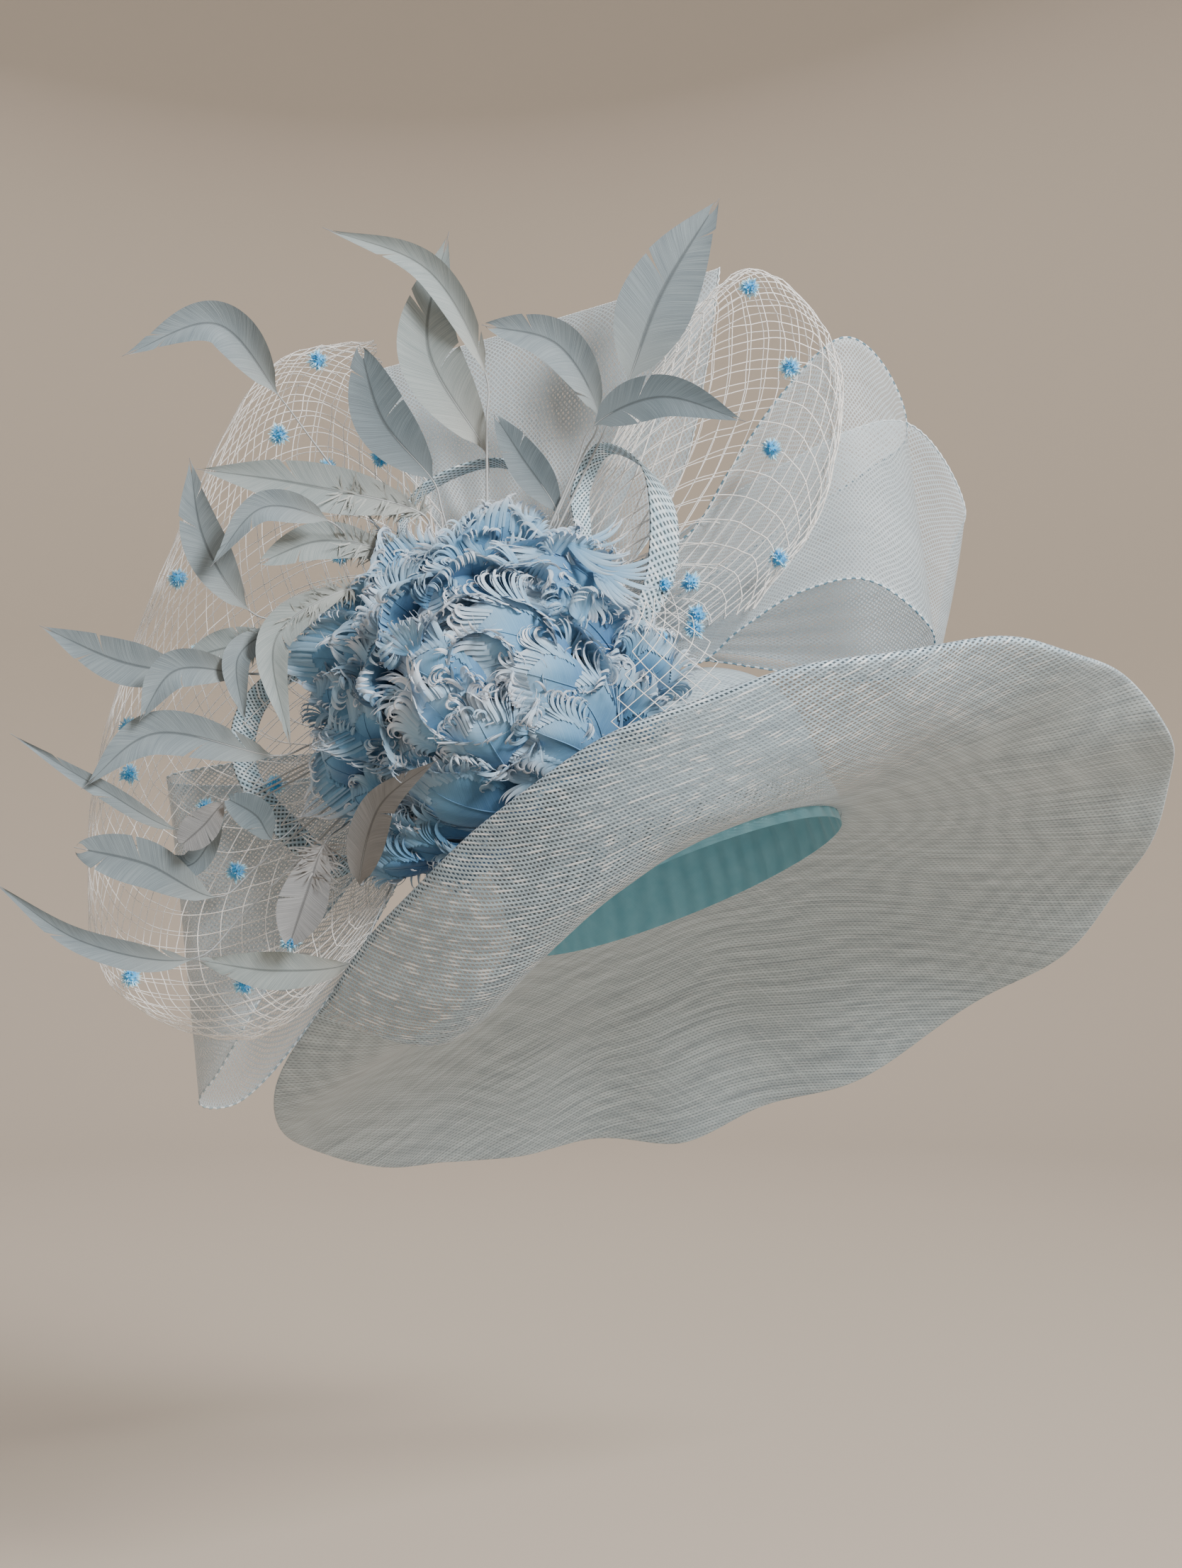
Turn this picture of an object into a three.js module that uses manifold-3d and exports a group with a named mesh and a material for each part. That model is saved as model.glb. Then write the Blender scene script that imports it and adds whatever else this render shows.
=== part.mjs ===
// A wide, wavy straw hat worn tilted, trimmed with a curled feather flower, a spray of cut feathers,
// crinoline bow loops, bias straw loops and dotted veiling.
// Millimetres and degrees. +Z is up as worn, -Y faces the viewer, +X is the viewer's right, and the
// origin is the middle of the head opening.
import * as THREE from "three";
import { mergeVertices } from "three/addons/utils/BufferGeometryUtils.js";
import Module from "manifold-3d";

const wasm = await Module();
wasm.setup();

// How the hat sits on the head.
const wornRoll = 22;
const wornPitch = 12;

// Head opening, sweatband and crown.
const headWidth = 180;
const headDepth = 194;
const bandThickness = 1;
const bandHeight = 34;
const bandDrop = 5;
const strawThickness = 2;
const crownHeight = 98;
const crownShoulder = 52;
const domeSquash = 0.9;
const seamGap = 0.3;

// Brim: its widest reach out from the crown.
const brimWidth = 180;

// Hidden hub that every trimming is sewn to. Its place is in the hat's own frame.
const hubPlace = { x: -53, y: -96, z: 119 };
const hubRadius = 24;
const hubDepth = 48;
const neckRadius = 15;
const neckLength = 60;
const neckShare = 0.45;
const trimRoll = 22;
const trimPitch = 12;

// How far the bow's loops and the veiling reach from the hub: their tables hold shares of it.
const bowSpan = 250;

// Thickness of the soft walls.
const petalThickness = 1.2;
const crinolineThickness = 1;
const biasThickness = 1.2;
const veilThickness = 1;
const veilStrand = 1.6;
const dotRadius = 4.2;

// Feathers: the quill's half thickness and its taper, where along it the bare stem ends, how much of its
// forward lean the stem takes, and how far the spray reaches.
const quillHalf = 0.9;
const quillTaper = 0.6;
const stemShare = 0.84;
const stemRise = 0.15;
const quillSeat = 3;
const vaneHalf = 16;
const sprayDepth = 13;
const spraySpan = 240;

// Flower: radius of its longest outer petals and depth of its cup.
const flowerRadius = 104;
const flowerDepth = 70;
const whorlSeat = 3.6;
const whorlBaseRadius = 17;

// Slivers smaller than this are merged away.
const simplifyWithin = 0.1;

const rad = THREE.MathUtils.degToRad;
const vec = (x, y, z) => new THREE.Vector3(x, y, z);

const materials = {
  straw: new THREE.MeshStandardMaterial({ color: 0xa9b8c6, roughness: 0.45 }),
  satin: new THREE.MeshStandardMaterial({ color: 0x86bcc8, roughness: 0.4 }),
  crinoline: new THREE.MeshStandardMaterial({ color: 0xc4cfd6, roughness: 0.5 }),
  veil: new THREE.MeshStandardMaterial({ color: 0xe6dfda, roughness: 0.6 }),
  petal: new THREE.MeshStandardMaterial({ color: 0x9dbfe2, roughness: 0.8 }),
  feather: new THREE.MeshStandardMaterial({ color: 0x9fb0b8, roughness: 0.75 }),
  felt: new THREE.MeshStandardMaterial({ color: 0x8aa5bd, roughness: 0.95 }),
};

// Small tools for solids.

// A closed geometry from points and faces, turned so that its faces point out.
function closedGeometry(points, faces) {
  let volume = 0;
  for (const [a, b, c] of faces) volume += points[a].dot(points[b].clone().cross(points[c]));
  const index = volume < 0 ? faces.map(([a, b, c]) => [a, c, b]) : faces;
  const geometry = new THREE.BufferGeometry().setFromPoints(points);
  geometry.setIndex(index.flat());
  return geometry;
}

function toSolid(geometry) {
  const bare = geometry.clone();
  bare.deleteAttribute("normal");
  bare.deleteAttribute("uv");
  const merged = mergeVertices(bare, 1e-3);
  const vertProperties = merged.attributes.position.array;
  const triVerts = new Uint32Array(merged.index.array);
  return new wasm.Manifold(new wasm.Mesh({ numProp: 3, vertProperties, triVerts }));
}

function toGeometry(solid) {
  const mesh = solid.getMesh();
  const geometry = new THREE.BufferGeometry();
  const positions = new Float32Array(mesh.numVert * 3);
  for (let i = 0; i < mesh.numVert; i++) {
    positions.set(mesh.vertProperties.subarray(i * mesh.numProp, i * mesh.numProp + 3), i * 3);
  }
  geometry.setAttribute("position", new THREE.BufferAttribute(positions, 3));
  geometry.setIndex(new THREE.BufferAttribute(mesh.triVerts, 1));
  return geometry;
}

// The two skins and the rim of a sheet whose middle is surface(u, v), u and v from 0 to 1.
// A ring sheet closes on itself along u. stand(u, v, normal) may turn the direction of the thickness.
function wall({ surface, across, along, thickness, ring = false, stand }) {
  const columns = ring ? across : across + 1;
  const points = [];
  const step = 1e-3;
  for (let j = 0; j <= along; j++) {
    for (let i = 0; i < columns; i++) {
      const u = i / across;
      const v = j / along;
      const [u0, u1] = ring ? [u - step, u + step] : [Math.max(0, u - step), Math.min(1, u + step)];
      const [v0, v1] = [Math.max(0, v - step), Math.min(1, v + step)];
      const acrossStep = surface(u1, v).sub(surface(u0, v));
      const alongStep = surface(u, v1).sub(surface(u, v0));
      const normal = acrossStep.cross(alongStep).normalize();
      if (stand) stand(u, v, normal);
      const middle = surface(u, v);
      points.push(middle.clone().addScaledVector(normal, thickness / 2));
      points.push(middle.clone().addScaledVector(normal, -thickness / 2));
    }
  }
  const at = (i, j, skin) => 2 * (j * columns + (i % columns)) + skin;
  const faces = [];
  const quad = (a, b, c, d) => faces.push([a, b, c], [a, c, d]);
  for (let j = 0; j < along; j++) {
    for (let i = 0; i < across; i++) {
      quad(at(i, j, 0), at(i + 1, j, 0), at(i + 1, j + 1, 0), at(i, j + 1, 0));
      quad(at(i, j + 1, 1), at(i + 1, j + 1, 1), at(i + 1, j, 1), at(i, j, 1));
    }
  }
  for (let i = 0; i < across; i++) {
    quad(at(i, 0, 1), at(i + 1, 0, 1), at(i + 1, 0, 0), at(i, 0, 0));
    quad(at(i, along, 0), at(i + 1, along, 0), at(i + 1, along, 1), at(i, along, 1));
  }
  if (!ring) {
    for (let j = 0; j < along; j++) {
      quad(at(0, j, 0), at(0, j + 1, 0), at(0, j + 1, 1), at(0, j, 1));
      quad(at(across, j, 1), at(across, j + 1, 1), at(across, j + 1, 0), at(across, j, 0));
    }
  }
  return closedGeometry(points, faces);
}

// A net of four-sided gaps cut through a sheet: knots lie on every second grid point.
function net({ surface, across, along, strand, thickness }) {
  const points = [];
  const knots = new Map();
  const step = 1e-3;
  const pair = (u, v) => {
    const [u0, u1] = [Math.max(0, u - step), Math.min(1, u + step)];
    const [v0, v1] = [Math.max(0, v - step), Math.min(1, v + step)];
    const acrossStep = surface(u1, v).sub(surface(u0, v));
    const normal = acrossStep.cross(surface(u, v1).sub(surface(u, v0))).normalize();
    return { middle: surface(u, v), normal };
  };
  const add = ({ middle, normal }) => {
    points.push(middle.clone().addScaledVector(normal, thickness / 2));
    points.push(middle.clone().addScaledVector(normal, -thickness / 2));
    return points.length - 2;
  };
  const knot = (i, j) => {
    const key = i + "," + j;
    if (!knots.has(key)) {
      const place = pair(i / across, j / along);
      knots.set(key, { ...place, id: add(place) });
    }
    return knots.get(key);
  };
  const faces = [];
  const quad = (a, b, c, d) => faces.push([a, b, c], [a, c, d]);
  const edges = new Map();
  for (let i = 1; i < across; i++) {
    for (let j = 1; j < along; j++) {
      if ((i + j) % 2 === 0) continue;
      const corners = [knot(i - 1, j), knot(i, j - 1), knot(i + 1, j), knot(i, j + 1)];
      const centre = corners.reduce((sum, c) => sum.add(c.middle), vec(0, 0, 0)).divideScalar(4);
      const diagonals = [
        corners[2].middle.clone().sub(corners[0].middle),
        corners[3].middle.clone().sub(corners[1].middle),
      ];
      const area = diagonals[0].clone().cross(diagonals[1]).length() / 2;
      const side = corners[0].middle.distanceTo(corners[1].middle);
      const share = Math.max(0.3, 1 - (strand * side) / area);
      const gap = corners.map((c) =>
        add({ middle: centre.clone().lerp(c.middle, share), normal: c.normal }),
      );
      corners.forEach((corner, k) => {
        const next = (k + 1) % 4;
        const [a, b, c, d] = [corner.id, corners[next].id, gap[next], gap[k]];
        quad(a, b, c, d);
        quad(d + 1, c + 1, b + 1, a + 1);
        quad(d, c, c + 1, d + 1);
        const back = edges.get(b + "," + a);
        if (back) edges.delete(b + "," + a);
        else edges.set(a + "," + b, [a, b]);
      });
    }
  }
  for (const [a, b] of edges.values()) quad(b, a, a + 1, b + 1);
  return { geometry: closedGeometry(points, faces), knots };
}

// A closed solid through four-cornered sections. Each side's triangles run from a thin edge to a ridge,
// alike on both faces, so that the faces keep apart where the solid bends.
function loft(sections) {
  const points = sections.flat();
  const faces = [[0, 1, 3], [1, 2, 3]];
  const last = points.length - 4;
  for (let s = 0; s < sections.length - 1; s++) {
    for (let k = 0; k < 4; k++) {
      const a = 4 * s + k;
      const b = 4 * s + ((k + 1) % 4);
      if (k % 2 === 0) faces.push([a, a + 4, b + 4], [a, b + 4, b]);
      else faces.push([a, a + 4, b], [a + 4, b + 4, b]);
    }
  }
  faces.push([last, last + 3, last + 1], [last + 1, last + 3, last + 2]);
  return closedGeometry(points, faces);
}

// A solid of revolution about Z, pressed into an oval whose depth is stretch times its width.
function ovalLathe(profile, segments, stretch) {
  const geometry = new THREE.LatheGeometry(profile.map(([r, z]) => new THREE.Vector2(r, z)), segments);
  geometry.rotateX(Math.PI / 2);
  geometry.scale(1, stretch, 1);
  return geometry;
}

// A round post of that radius whose axis runs from one point to another.
function post(from, to, radius, segments = 16) {
  const axis = to.clone().sub(from);
  const geometry = new THREE.CylinderGeometry(radius, radius, axis.length(), segments);
  geometry.applyQuaternion(
    new THREE.Quaternion().setFromUnitVectors(vec(0, 1, 0), axis.clone().normalize()),
  );
  const middle = from.clone().add(to).divideScalar(2);
  return geometry.translate(middle.x, middle.y, middle.z);
}

function piece(name, geometry, material) {
  const mesh = new THREE.Mesh(geometry, material);
  mesh.name = name;
  return mesh;
}

// A smooth value of one column of a table whose rows go once round, read at an azimuth.
function around(rows, column, azimuth) {
  const n = rows.length;
  const turn = ((azimuth % 360) + 360) % 360;
  let k = rows.findIndex((row) => row.at > turn);
  if (k < 0) k = n;
  const row = (i) => ({
    at: rows[((i % n) + n) % n].at + 360 * Math.floor(i / n),
    value: rows[((i % n) + n) % n][column],
  });
  const [a, b, c, d] = [row(k - 2), row(k - 1), row(k), row(k + 1)];
  const t = (turn - b.at) / (c.at - b.at);
  const slopeB = ((c.value - a.value) / (c.at - a.at)) * (c.at - b.at);
  const slopeC = ((d.value - b.value) / (d.at - b.at)) * (c.at - b.at);
  return (
    b.value * (1 + 2 * t) * (1 - t) ** 2 +
    slopeB * t * (1 - t) ** 2 +
    c.value * t * t * (3 - 2 * t) +
    slopeC * t * t * (t - 1)
  );
}

// Sweatband and crown: upright oval walls, one inside the other.
const headStretch = headDepth / headWidth;
const bandOuter = headWidth / 2 + bandThickness;
const crownInner = bandOuter + seamGap;
const crownOuter = crownInner + strawThickness;
const ovalSegments = 32;

function crownProfile(grow = 0) {
  const dome = [];
  const steps = 4;
  const topRadius = crownOuter - crownShoulder;
  for (let k = 0; k <= steps; k++) {
    const turn = (k / steps) * (Math.PI / 2);
    dome.push([
      topRadius + (crownShoulder + grow) * Math.cos(turn),
      crownHeight - crownShoulder * domeSquash + (crownShoulder * domeSquash + grow) * Math.sin(turn),
    ]);
  }
  return dome;
}

function makeSweatband() {
  const inner = headWidth / 2;
  const profile = [
    [inner, -bandDrop],
    [bandOuter, -bandDrop],
    [bandOuter, bandHeight - bandDrop],
    [inner, bandHeight - bandDrop],
    [inner, -bandDrop],
  ];
  return piece("sweatband", ovalLathe(profile, ovalSegments, headStretch), materials.satin);
}

function makeCrown() {
  const outside = crownProfile();
  const inside = crownProfile(-strawThickness).reverse();
  const profile = [
    [crownOuter, 0],
    ...outside,
    [0, crownHeight],
    [0, crownHeight - strawThickness],
    ...inside,
    [crownInner, 0],
    [crownOuter, 0],
  ];
  return piece("crown", ovalLathe(profile, ovalSegments, headStretch), materials.straw);
}

// The crown with its hollow filled and grown by a clearance, to cut what is sewn against it.
function crownWithRoom(room) {
  const profile = [[0, -room], [crownOuter + room, -room], ...crownProfile(room), [0, crownHeight + room]];
  return toSolid(ovalLathe(profile, ovalSegments, headStretch));
}

// Brim: a row for each wave, by azimuth from the viewer's right round the back. reach and rise are the
// edge's way out and up as shares of the brim's width, and sag is how far the middle hangs below a
// straight line.
const brimRows = [
  { at: 0, reach: 0.96, rise: -0.2, sag: 0.02 },
  { at: 17, reach: 0.93, rise: -0.38, sag: 0 },
  { at: 34, reach: 0.88, rise: -0.53, sag: -0.03 },
  { at: 52, reach: 0.81, rise: -0.58, sag: -0.06 },
  { at: 75, reach: 0.76, rise: -0.65, sag: -0.1 },
  { at: 93, reach: 0.78, rise: -0.63, sag: -0.12 },
  { at: 109, reach: 0.86, rise: -0.62, sag: -0.1 },
  { at: 124, reach: 0.92, rise: -0.56, sag: -0.08 },
  { at: 138, reach: 0.96, rise: -0.4, sag: -0.06 },
  { at: 153, reach: 0.98, rise: -0.33, sag: -0.02 },
  { at: 167, reach: 0.92, rise: -0.23, sag: 0.02 },
  { at: 181, reach: 0.82, rise: -0.16, sag: 0.08 },
  { at: 196, reach: 0.64, rise: -0.04, sag: 0.16 },
  { at: 214, reach: 0.5, rise: 0.07, sag: 0.2 },
  { at: 236, reach: 0.44, rise: 0.14, sag: 0.19 },
  { at: 256, reach: 0.46, rise: 0.2, sag: 0.16 },
  { at: 270, reach: 0.5, rise: 0.22, sag: 0.13 },
  { at: 292, reach: 0.57, rise: 0.2, sag: 0.1 },
  { at: 317, reach: 0.67, rise: 0.14, sag: 0.07 },
  { at: 330, reach: 0.77, rise: 0.11, sag: 0.05 },
  { at: 346, reach: 0.89, rise: -0.03, sag: 0.03 },
];

// One soft roll in the brim at the back: its azimuth, half its spread, and its lift at the edge as a
// share of the brim's width.
const rollAzimuth = 119;
const rollSpread = 17;
const rollLift = 0.11;

function brimPoint(u, v) {
  const azimuth = 360 * u;
  const turn = rad(azimuth);
  const ringRadius = crownOuter + seamGap;
  const out = vec(Math.cos(turn), Math.sin(turn) * headStretch, 0);
  const start = out.clone().multiplyScalar(ringRadius);
  const reach = around(brimRows, "reach", azimuth) * brimWidth;
  const rise = around(brimRows, "rise", azimuth) * brimWidth;
  const sag = around(brimRows, "sag", azimuth) * brimWidth;
  const turnToRoll = Math.min(1, Math.abs(azimuth - rollAzimuth) / rollSpread);
  const roll = rollLift * brimWidth * (0.5 + 0.5 * Math.cos(Math.PI * turnToRoll)) * v * v;
  const hang = 4 * sag * v * (1 - v);
  return start.addScaledVector(out, reach * v).add(vec(0, 0, rise * v - hang + roll));
}

// At the crown the brim's cut edge stands upright, so that it meets the wall flat, and it has turned
// square to the cloth one part in edgeSettle of the way out.
const edgeSettle = 5;

function brimStand(u, v, normal) {
  const upright = vec(0, 0, Math.sign(normal.z) || 1);
  normal.lerp(upright, Math.max(0, 1 - edgeSettle * v)).normalize();
}

function makeBrim() {
  const geometry = wall({
    surface: brimPoint,
    across: 64,
    along: 6,
    thickness: strawThickness,
    ring: true,
    stand: brimStand,
  });
  return piece("brim", geometry, materials.straw);
}

// The hub and its neck down to the crown, in the trimming's frame: x right, y away from the viewer, z up.
const hat = new THREE.Group();
hat.rotation.set(rad(-wornPitch), rad(-wornRoll), 0, "YXZ");
const trim = new THREE.Group();
trim.position.set(hubPlace.x, hubPlace.y, hubPlace.z);
trim.rotation.set(rad(trimPitch), rad(trimRoll), 0, "XYZ");
hat.add(trim);
hat.updateMatrixWorld(true);
const hatToTrim = trim.matrix.clone().invert();

const hubAxis = (y) => vec(0, y, 0);

function makeHub() {
  const disc = toSolid(post(hubAxis(0), hubAxis(hubDepth), hubRadius));
  const down = vec(0, 0, -1).transformDirection(hatToTrim);
  const neckTop = hubAxis(hubDepth * neckShare);
  const neck = toSolid(post(neckTop, neckTop.clone().addScaledVector(down, neckLength), neckRadius));
  const crown = crownWithRoom(seamGap).transform(hatToTrim.elements);
  return piece("trim_hub", toGeometry(disc.add(neck).subtract(crown)), materials.felt);
}

// What is left of a piece once the hub and a seam's gap are taken out of it.
function seatedOnHub(geometry) {
  const down = vec(0, 0, -1).transformDirection(hatToTrim);
  const neckTop = hubAxis(hubDepth * neckShare);
  const room = toSolid(post(hubAxis(-seamGap), hubAxis(hubDepth + seamGap), hubRadius + seamGap));
  const neckEnd = neckTop.clone().addScaledVector(down, neckLength);
  const neckRoom = toSolid(post(neckTop, neckEnd, neckRadius + seamGap));
  return toGeometry(toSolid(geometry).subtract(room.add(neckRoom)).simplify(simplifyWithin));
}

// Flower: whorls of cupped petals, each on its own small disc and seated on the whorl behind it.
// bow and end are the middle and tip of a petal's profile, each as a way out (share of the flower's
// radius) and forward (share of its depth). lengths are the petals' shares of the whorl's reach.
const whorls = [
  {
    name: "flower_whorl_outer",
    first: 8,
    bow: { out: 0.5, forward: 0.12 },
    end: { out: 1, forward: 0.17 },
    lengths: [0.8, 0.84, 0.82, 0.8, 0.92, 1.04, 1.04, 0.72, 0.6],
  },
  {
    name: "flower_whorl_second",
    first: 28,
    bow: { out: 0.46, forward: 0.24 },
    end: { out: 0.76, forward: 0.44 },
    lengths: [0.98, 1, 0.94, 0.94, 1.06, 1.04, 0.94, 0.9],
  },
  {
    name: "flower_whorl_third",
    first: 12,
    bow: { out: 0.42, forward: 0.34 },
    end: { out: 0.58, forward: 0.68 },
    lengths: [1, 0.96, 1, 0.94, 1, 0.96, 1],
  },
  {
    name: "flower_whorl_inner",
    first: 40,
    bow: { out: 0.34, forward: 0.44 },
    end: { out: 0.38, forward: 0.88 },
    lengths: [1, 0.95, 1, 0.96, 1, 0.95],
  },
  {
    name: "flower_heart",
    first: 0,
    bow: { out: 0.24, forward: 0.5 },
    end: { out: 0.16, forward: 1 },
    lengths: [1, 1, 1, 1, 1],
  },
];
const petalOverlap = 1.15;
const petalLean = 2.4;
const petalWidest = 0.62;
// How narrow a petal starts, how much its tip narrows, how round the tip is, and how long it keeps to
// its disc.
const petalStart = 0.2;
const petalTaper = 0.5;
const tipRound = 0.1;
const startPull = 0.3;
const petalFoot = 0.8;
const baseStep = 2;

// A petal's half width at v of its length, as a share of its widest.
function petalSpread(v) {
  const grown = petalStart + (1 - petalStart) * Math.min(1, v / petalWidest);
  const rising = Math.sin((Math.PI / 2) * grown);
  const past = Math.max(0, v - petalWidest) / (1 - petalWidest);
  return rising * (1 - petalTaper * past * past);
}

function makeWhorl(whorl, level) {
  const seat = -seamGap - level * (whorlSeat + seamGap);
  const baseRadius = whorlBaseRadius - level * baseStep;
  let solid = toSolid(post(hubAxis(seat), hubAxis(seat - whorlSeat), baseRadius, 12));
  const start = { out: baseRadius * petalFoot, forward: whorlSeat / 2 - seat };
  const { bow, end } = whorl;
  const count = whorl.lengths.length;
  whorl.lengths.forEach((length, k) => {
    const middle = rad(whorl.first + (360 * k) / count);
    const halfAngle = rad((petalOverlap * 180) / count);
    const surface = (u, v) => {
      const side = 2 * u - 1;
      const [a, b, c] = [(1 - v) ** 2, 2 * v * (1 - v), v * v];
      const out = a * start.out + (b * bow.out + c * end.out) * flowerRadius;
      const radius = out * (1 + (length - 1) * v) * (1 - tipRound * side * side * v * v);
      const rise = (b * bow.forward + c * end.forward) * flowerDepth;
      const forward = (a + b * startPull) * start.forward + rise;
      const angle = middle + halfAngle * side * petalSpread(v);
      const y = petalLean * side * v - forward;
      return vec(radius * Math.cos(angle), y, radius * Math.sin(angle));
    };
    const along = level < 2 ? 3 : 2;
    solid = solid.add(toSolid(wall({ surface, across: 2, along, thickness: petalThickness })));
  });
  return piece(whorl.name, toGeometry(solid.simplify(simplifyWithin)), materials.petal);
}

// Cut feathers. base, bend and tip are the vane's place as shares of the spray's span, in the trimming's
// frame. half is the vane's half width, cup its fold towards the viewer, peak where it is widest, blunt
// how round its tip is, layer how far back its quill leaves the hub.
const feathers = [
  {
    name: "crook_top",
    base: [0, 0.03, 0.62], bend: [-0.12, -0.01, 0.84], tip: [-0.34, -0.04, 0.925],
    half: 0.5, cup: 0.5, peak: 0.45, blunt: 0, layer: 0.46,
  },
  {
    name: "tall_top",
    base: [0, 0.05, 0.46], bend: [-0.125, 0.035, 0.69], tip: [-0.08, 0.02, 0.93],
    half: 1, cup: 0.25, peak: 0.45, blunt: 0, layer: 0.77,
  },
  {
    name: "arched_left",
    base: [-0.435, 0.02, 0.58], bend: [-0.56, -0.03, 0.725], tip: [-0.75, -0.08, 0.65],
    half: 0.7, cup: 0.4, peak: 0.4, blunt: 0, layer: 0.46,
  },
  {
    name: "dark_left",
    base: [-0.11, 0.035, 0.4], bend: [-0.22, 0.015, 0.535], tip: [-0.267, 0, 0.69],
    half: 0.9, cup: 0.2, peak: 0.5, blunt: 0.5, layer: 0.46,
  },
  {
    name: "crescent_top",
    base: [0.235, 0.035, 0.535], bend: [0.15, 0.015, 0.69], tip: [-0.01, 0, 0.73],
    half: 0.7, cup: 0.35, peak: 0.5, blunt: 0.5, layer: 0.72,
  },
  {
    name: "upright_right",
    base: [0.295, 0.045, 0.61], bend: [0.365, 0.03, 0.795], tip: [0.49, 0.02, 1.0],
    half: 1.2, cup: 0.15, peak: 0.4, blunt: 0.2, layer: 0.92,
  },
  {
    name: "dark_right",
    base: [0.22, -0.02, 0.51], bend: [0.36, -0.05, 0.57], tip: [0.54, -0.08, 0.515],
    half: 0.7, cup: 0.3, peak: 0.35, blunt: 0.2, layer: 0.17,
  },
  {
    name: "dark_middle",
    base: [0.15, 0.025, 0.33], bend: [0.07, 0.015, 0.46], tip: [0.015, 0.01, 0.545],
    half: 0.6, cup: 0.3, peak: 0.45, blunt: 0.4, layer: 0.46,
  },
  {
    name: "long_left",
    base: [-0.13, 0.01, 0.33], bend: [-0.375, -0.03, 0.39], tip: [-0.6, -0.06, 0.42],
    half: 0.75, cup: 0.2, peak: 0.45, blunt: 0.1, layer: 0.31,
  },
  {
    name: "upright_left",
    base: [-0.49, -0.02, 0.125], bend: [-0.583, -0.05, 0.27], tip: [-0.61, -0.08, 0.44],
    half: 0.7, cup: 0.3, peak: 0.45, blunt: 0, layer: 0.54,
  },
  {
    name: "small_arc",
    base: [-0.32, -0.05, 0.31], bend: [-0.455, -0.1, 0.335], tip: [-0.56, -0.125, 0.21],
    half: 0.5, cup: 0.35, peak: 0.35, blunt: 0, layer: 0.31,
  },
  {
    name: "companion_left",
    base: [-0.2, 0.01, 0.25], bend: [-0.345, -0.015, 0.275], tip: [-0.475, -0.04, 0.225],
    half: 0.6, cup: 0.2, peak: 0.5, blunt: 0.6, layer: 0.69,
  },
  {
    name: "white_crescent",
    base: [-0.27, -0.035, 0.175], bend: [-0.43, -0.08, 0.07], tip: [-0.4, -0.085, -0.16],
    half: 0.55, cup: 0.35, peak: 0.4, blunt: 0, layer: 0.31,
  },
  {
    name: "spear_left",
    base: [-0.62, 0, 0], bend: [-0.755, -0.035, 0.02], tip: [-0.925, -0.06, 0.095],
    half: 0.7, cup: 0.2, peak: 0.4, blunt: 0, layer: 0.77,
  },
  {
    name: "cut_left",
    base: [-0.5, -0.05, -0.005], bend: [-0.64, -0.08, 0.0], tip: [-0.71, -0.1, -0.105],
    half: 0.6, cup: 0.4, peak: 0.5, blunt: 0.1, layer: 0.31,
  },
  {
    name: "pale_left",
    base: [-0.44, 0.035, 0.07], bend: [-0.545, 0.03, 0.055], tip: [-0.635, 0.03, 0.03],
    half: 0.6, cup: 0.1, peak: 0.5, blunt: 0.7, layer: 0.92,
  },
  {
    name: "hook_left",
    base: [-0.44, -0.03, 0.085], bend: [-0.51, -0.07, 0.03], tip: [-0.495, -0.08, -0.11],
    half: 0.45, cup: 0.3, peak: 0.4, blunt: 0, layer: 0.74,
  },
  {
    name: "broad_left",
    base: [-0.43, -0.02, -0.175], bend: [-0.69, -0.06, -0.13], tip: [-0.83, -0.1, -0.245],
    half: 0.7, cup: 0.25, peak: 0.5, blunt: 0, layer: 0.31,
  },
  {
    name: "thin_upper",
    base: [-0.63, -0.025, -0.33], bend: [-0.8, -0.07, -0.24], tip: [-0.975, -0.1, -0.13],
    half: 0.3, cup: 0.3, peak: 0.35, blunt: 0, layer: 0.69,
  },
  {
    name: "thin_lower",
    base: [-0.6, -0.04, -0.595], bend: [-0.825, -0.09, -0.56], tip: [-1.01, -0.125, -0.43],
    half: 0.45, cup: 0.3, peak: 0.3, blunt: 0, layer: 0.31,
  },
  {
    name: "round_left",
    base: [-0.56, -0.01, -0.47], bend: [-0.71, -0.03, -0.4], tip: [-0.855, -0.05, -0.365],
    half: 0.75, cup: 0.15, peak: 0.6, blunt: 0.8, layer: 0.62,
  },
  {
    name: "curl_left",
    base: [-0.545, 0.0, -0.3], bend: [-0.625, 0.005, -0.405], tip: [-0.74, 0.0, -0.36],
    half: 0.4, cup: 0.3, peak: 0.4, blunt: 0.2, layer: 0.92,
  },
  {
    name: "round_small",
    base: [-0.54, -0.05, -0.27], bend: [-0.585, -0.055, -0.32], tip: [-0.635, -0.06, -0.365],
    half: 0.55, cup: 0.2, peak: 0.6, blunt: 0.8, layer: 0.49,
  },
  {
    name: "oval_left",
    base: [-0.44, -0.045, -0.35], bend: [-0.475, -0.055, -0.3], tip: [-0.54, -0.07, -0.26],
    half: 0.55, cup: 0.2, peak: 0.5, blunt: 0.7, layer: 0.38,
  },
  {
    name: "white_low",
    base: [-0.27, -0.05, -0.6], bend: [-0.43, -0.07, -0.62], tip: [-0.6, -0.09, -0.595],
    half: 0.6, cup: 0.15, peak: 0.5, blunt: 0.1, layer: 0.46,
  },
  {
    name: "grey_low",
    base: [-0.33, -0.08, -0.355], bend: [-0.365, -0.11, -0.46], tip: [-0.4, -0.125, -0.57],
    half: 0.75, cup: 0.3, peak: 0.6, blunt: 0.6, layer: 0.69,
  },
  {
    name: "brown_over",
    base: [-0.26, -0.04, -0.445], bend: [-0.21, -0.17, -0.28], tip: [-0.085, -0.28, -0.185],
    half: 0.6, cup: 0.25, peak: 0.35, blunt: 0, layer: 0.31,
  },
];

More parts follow.
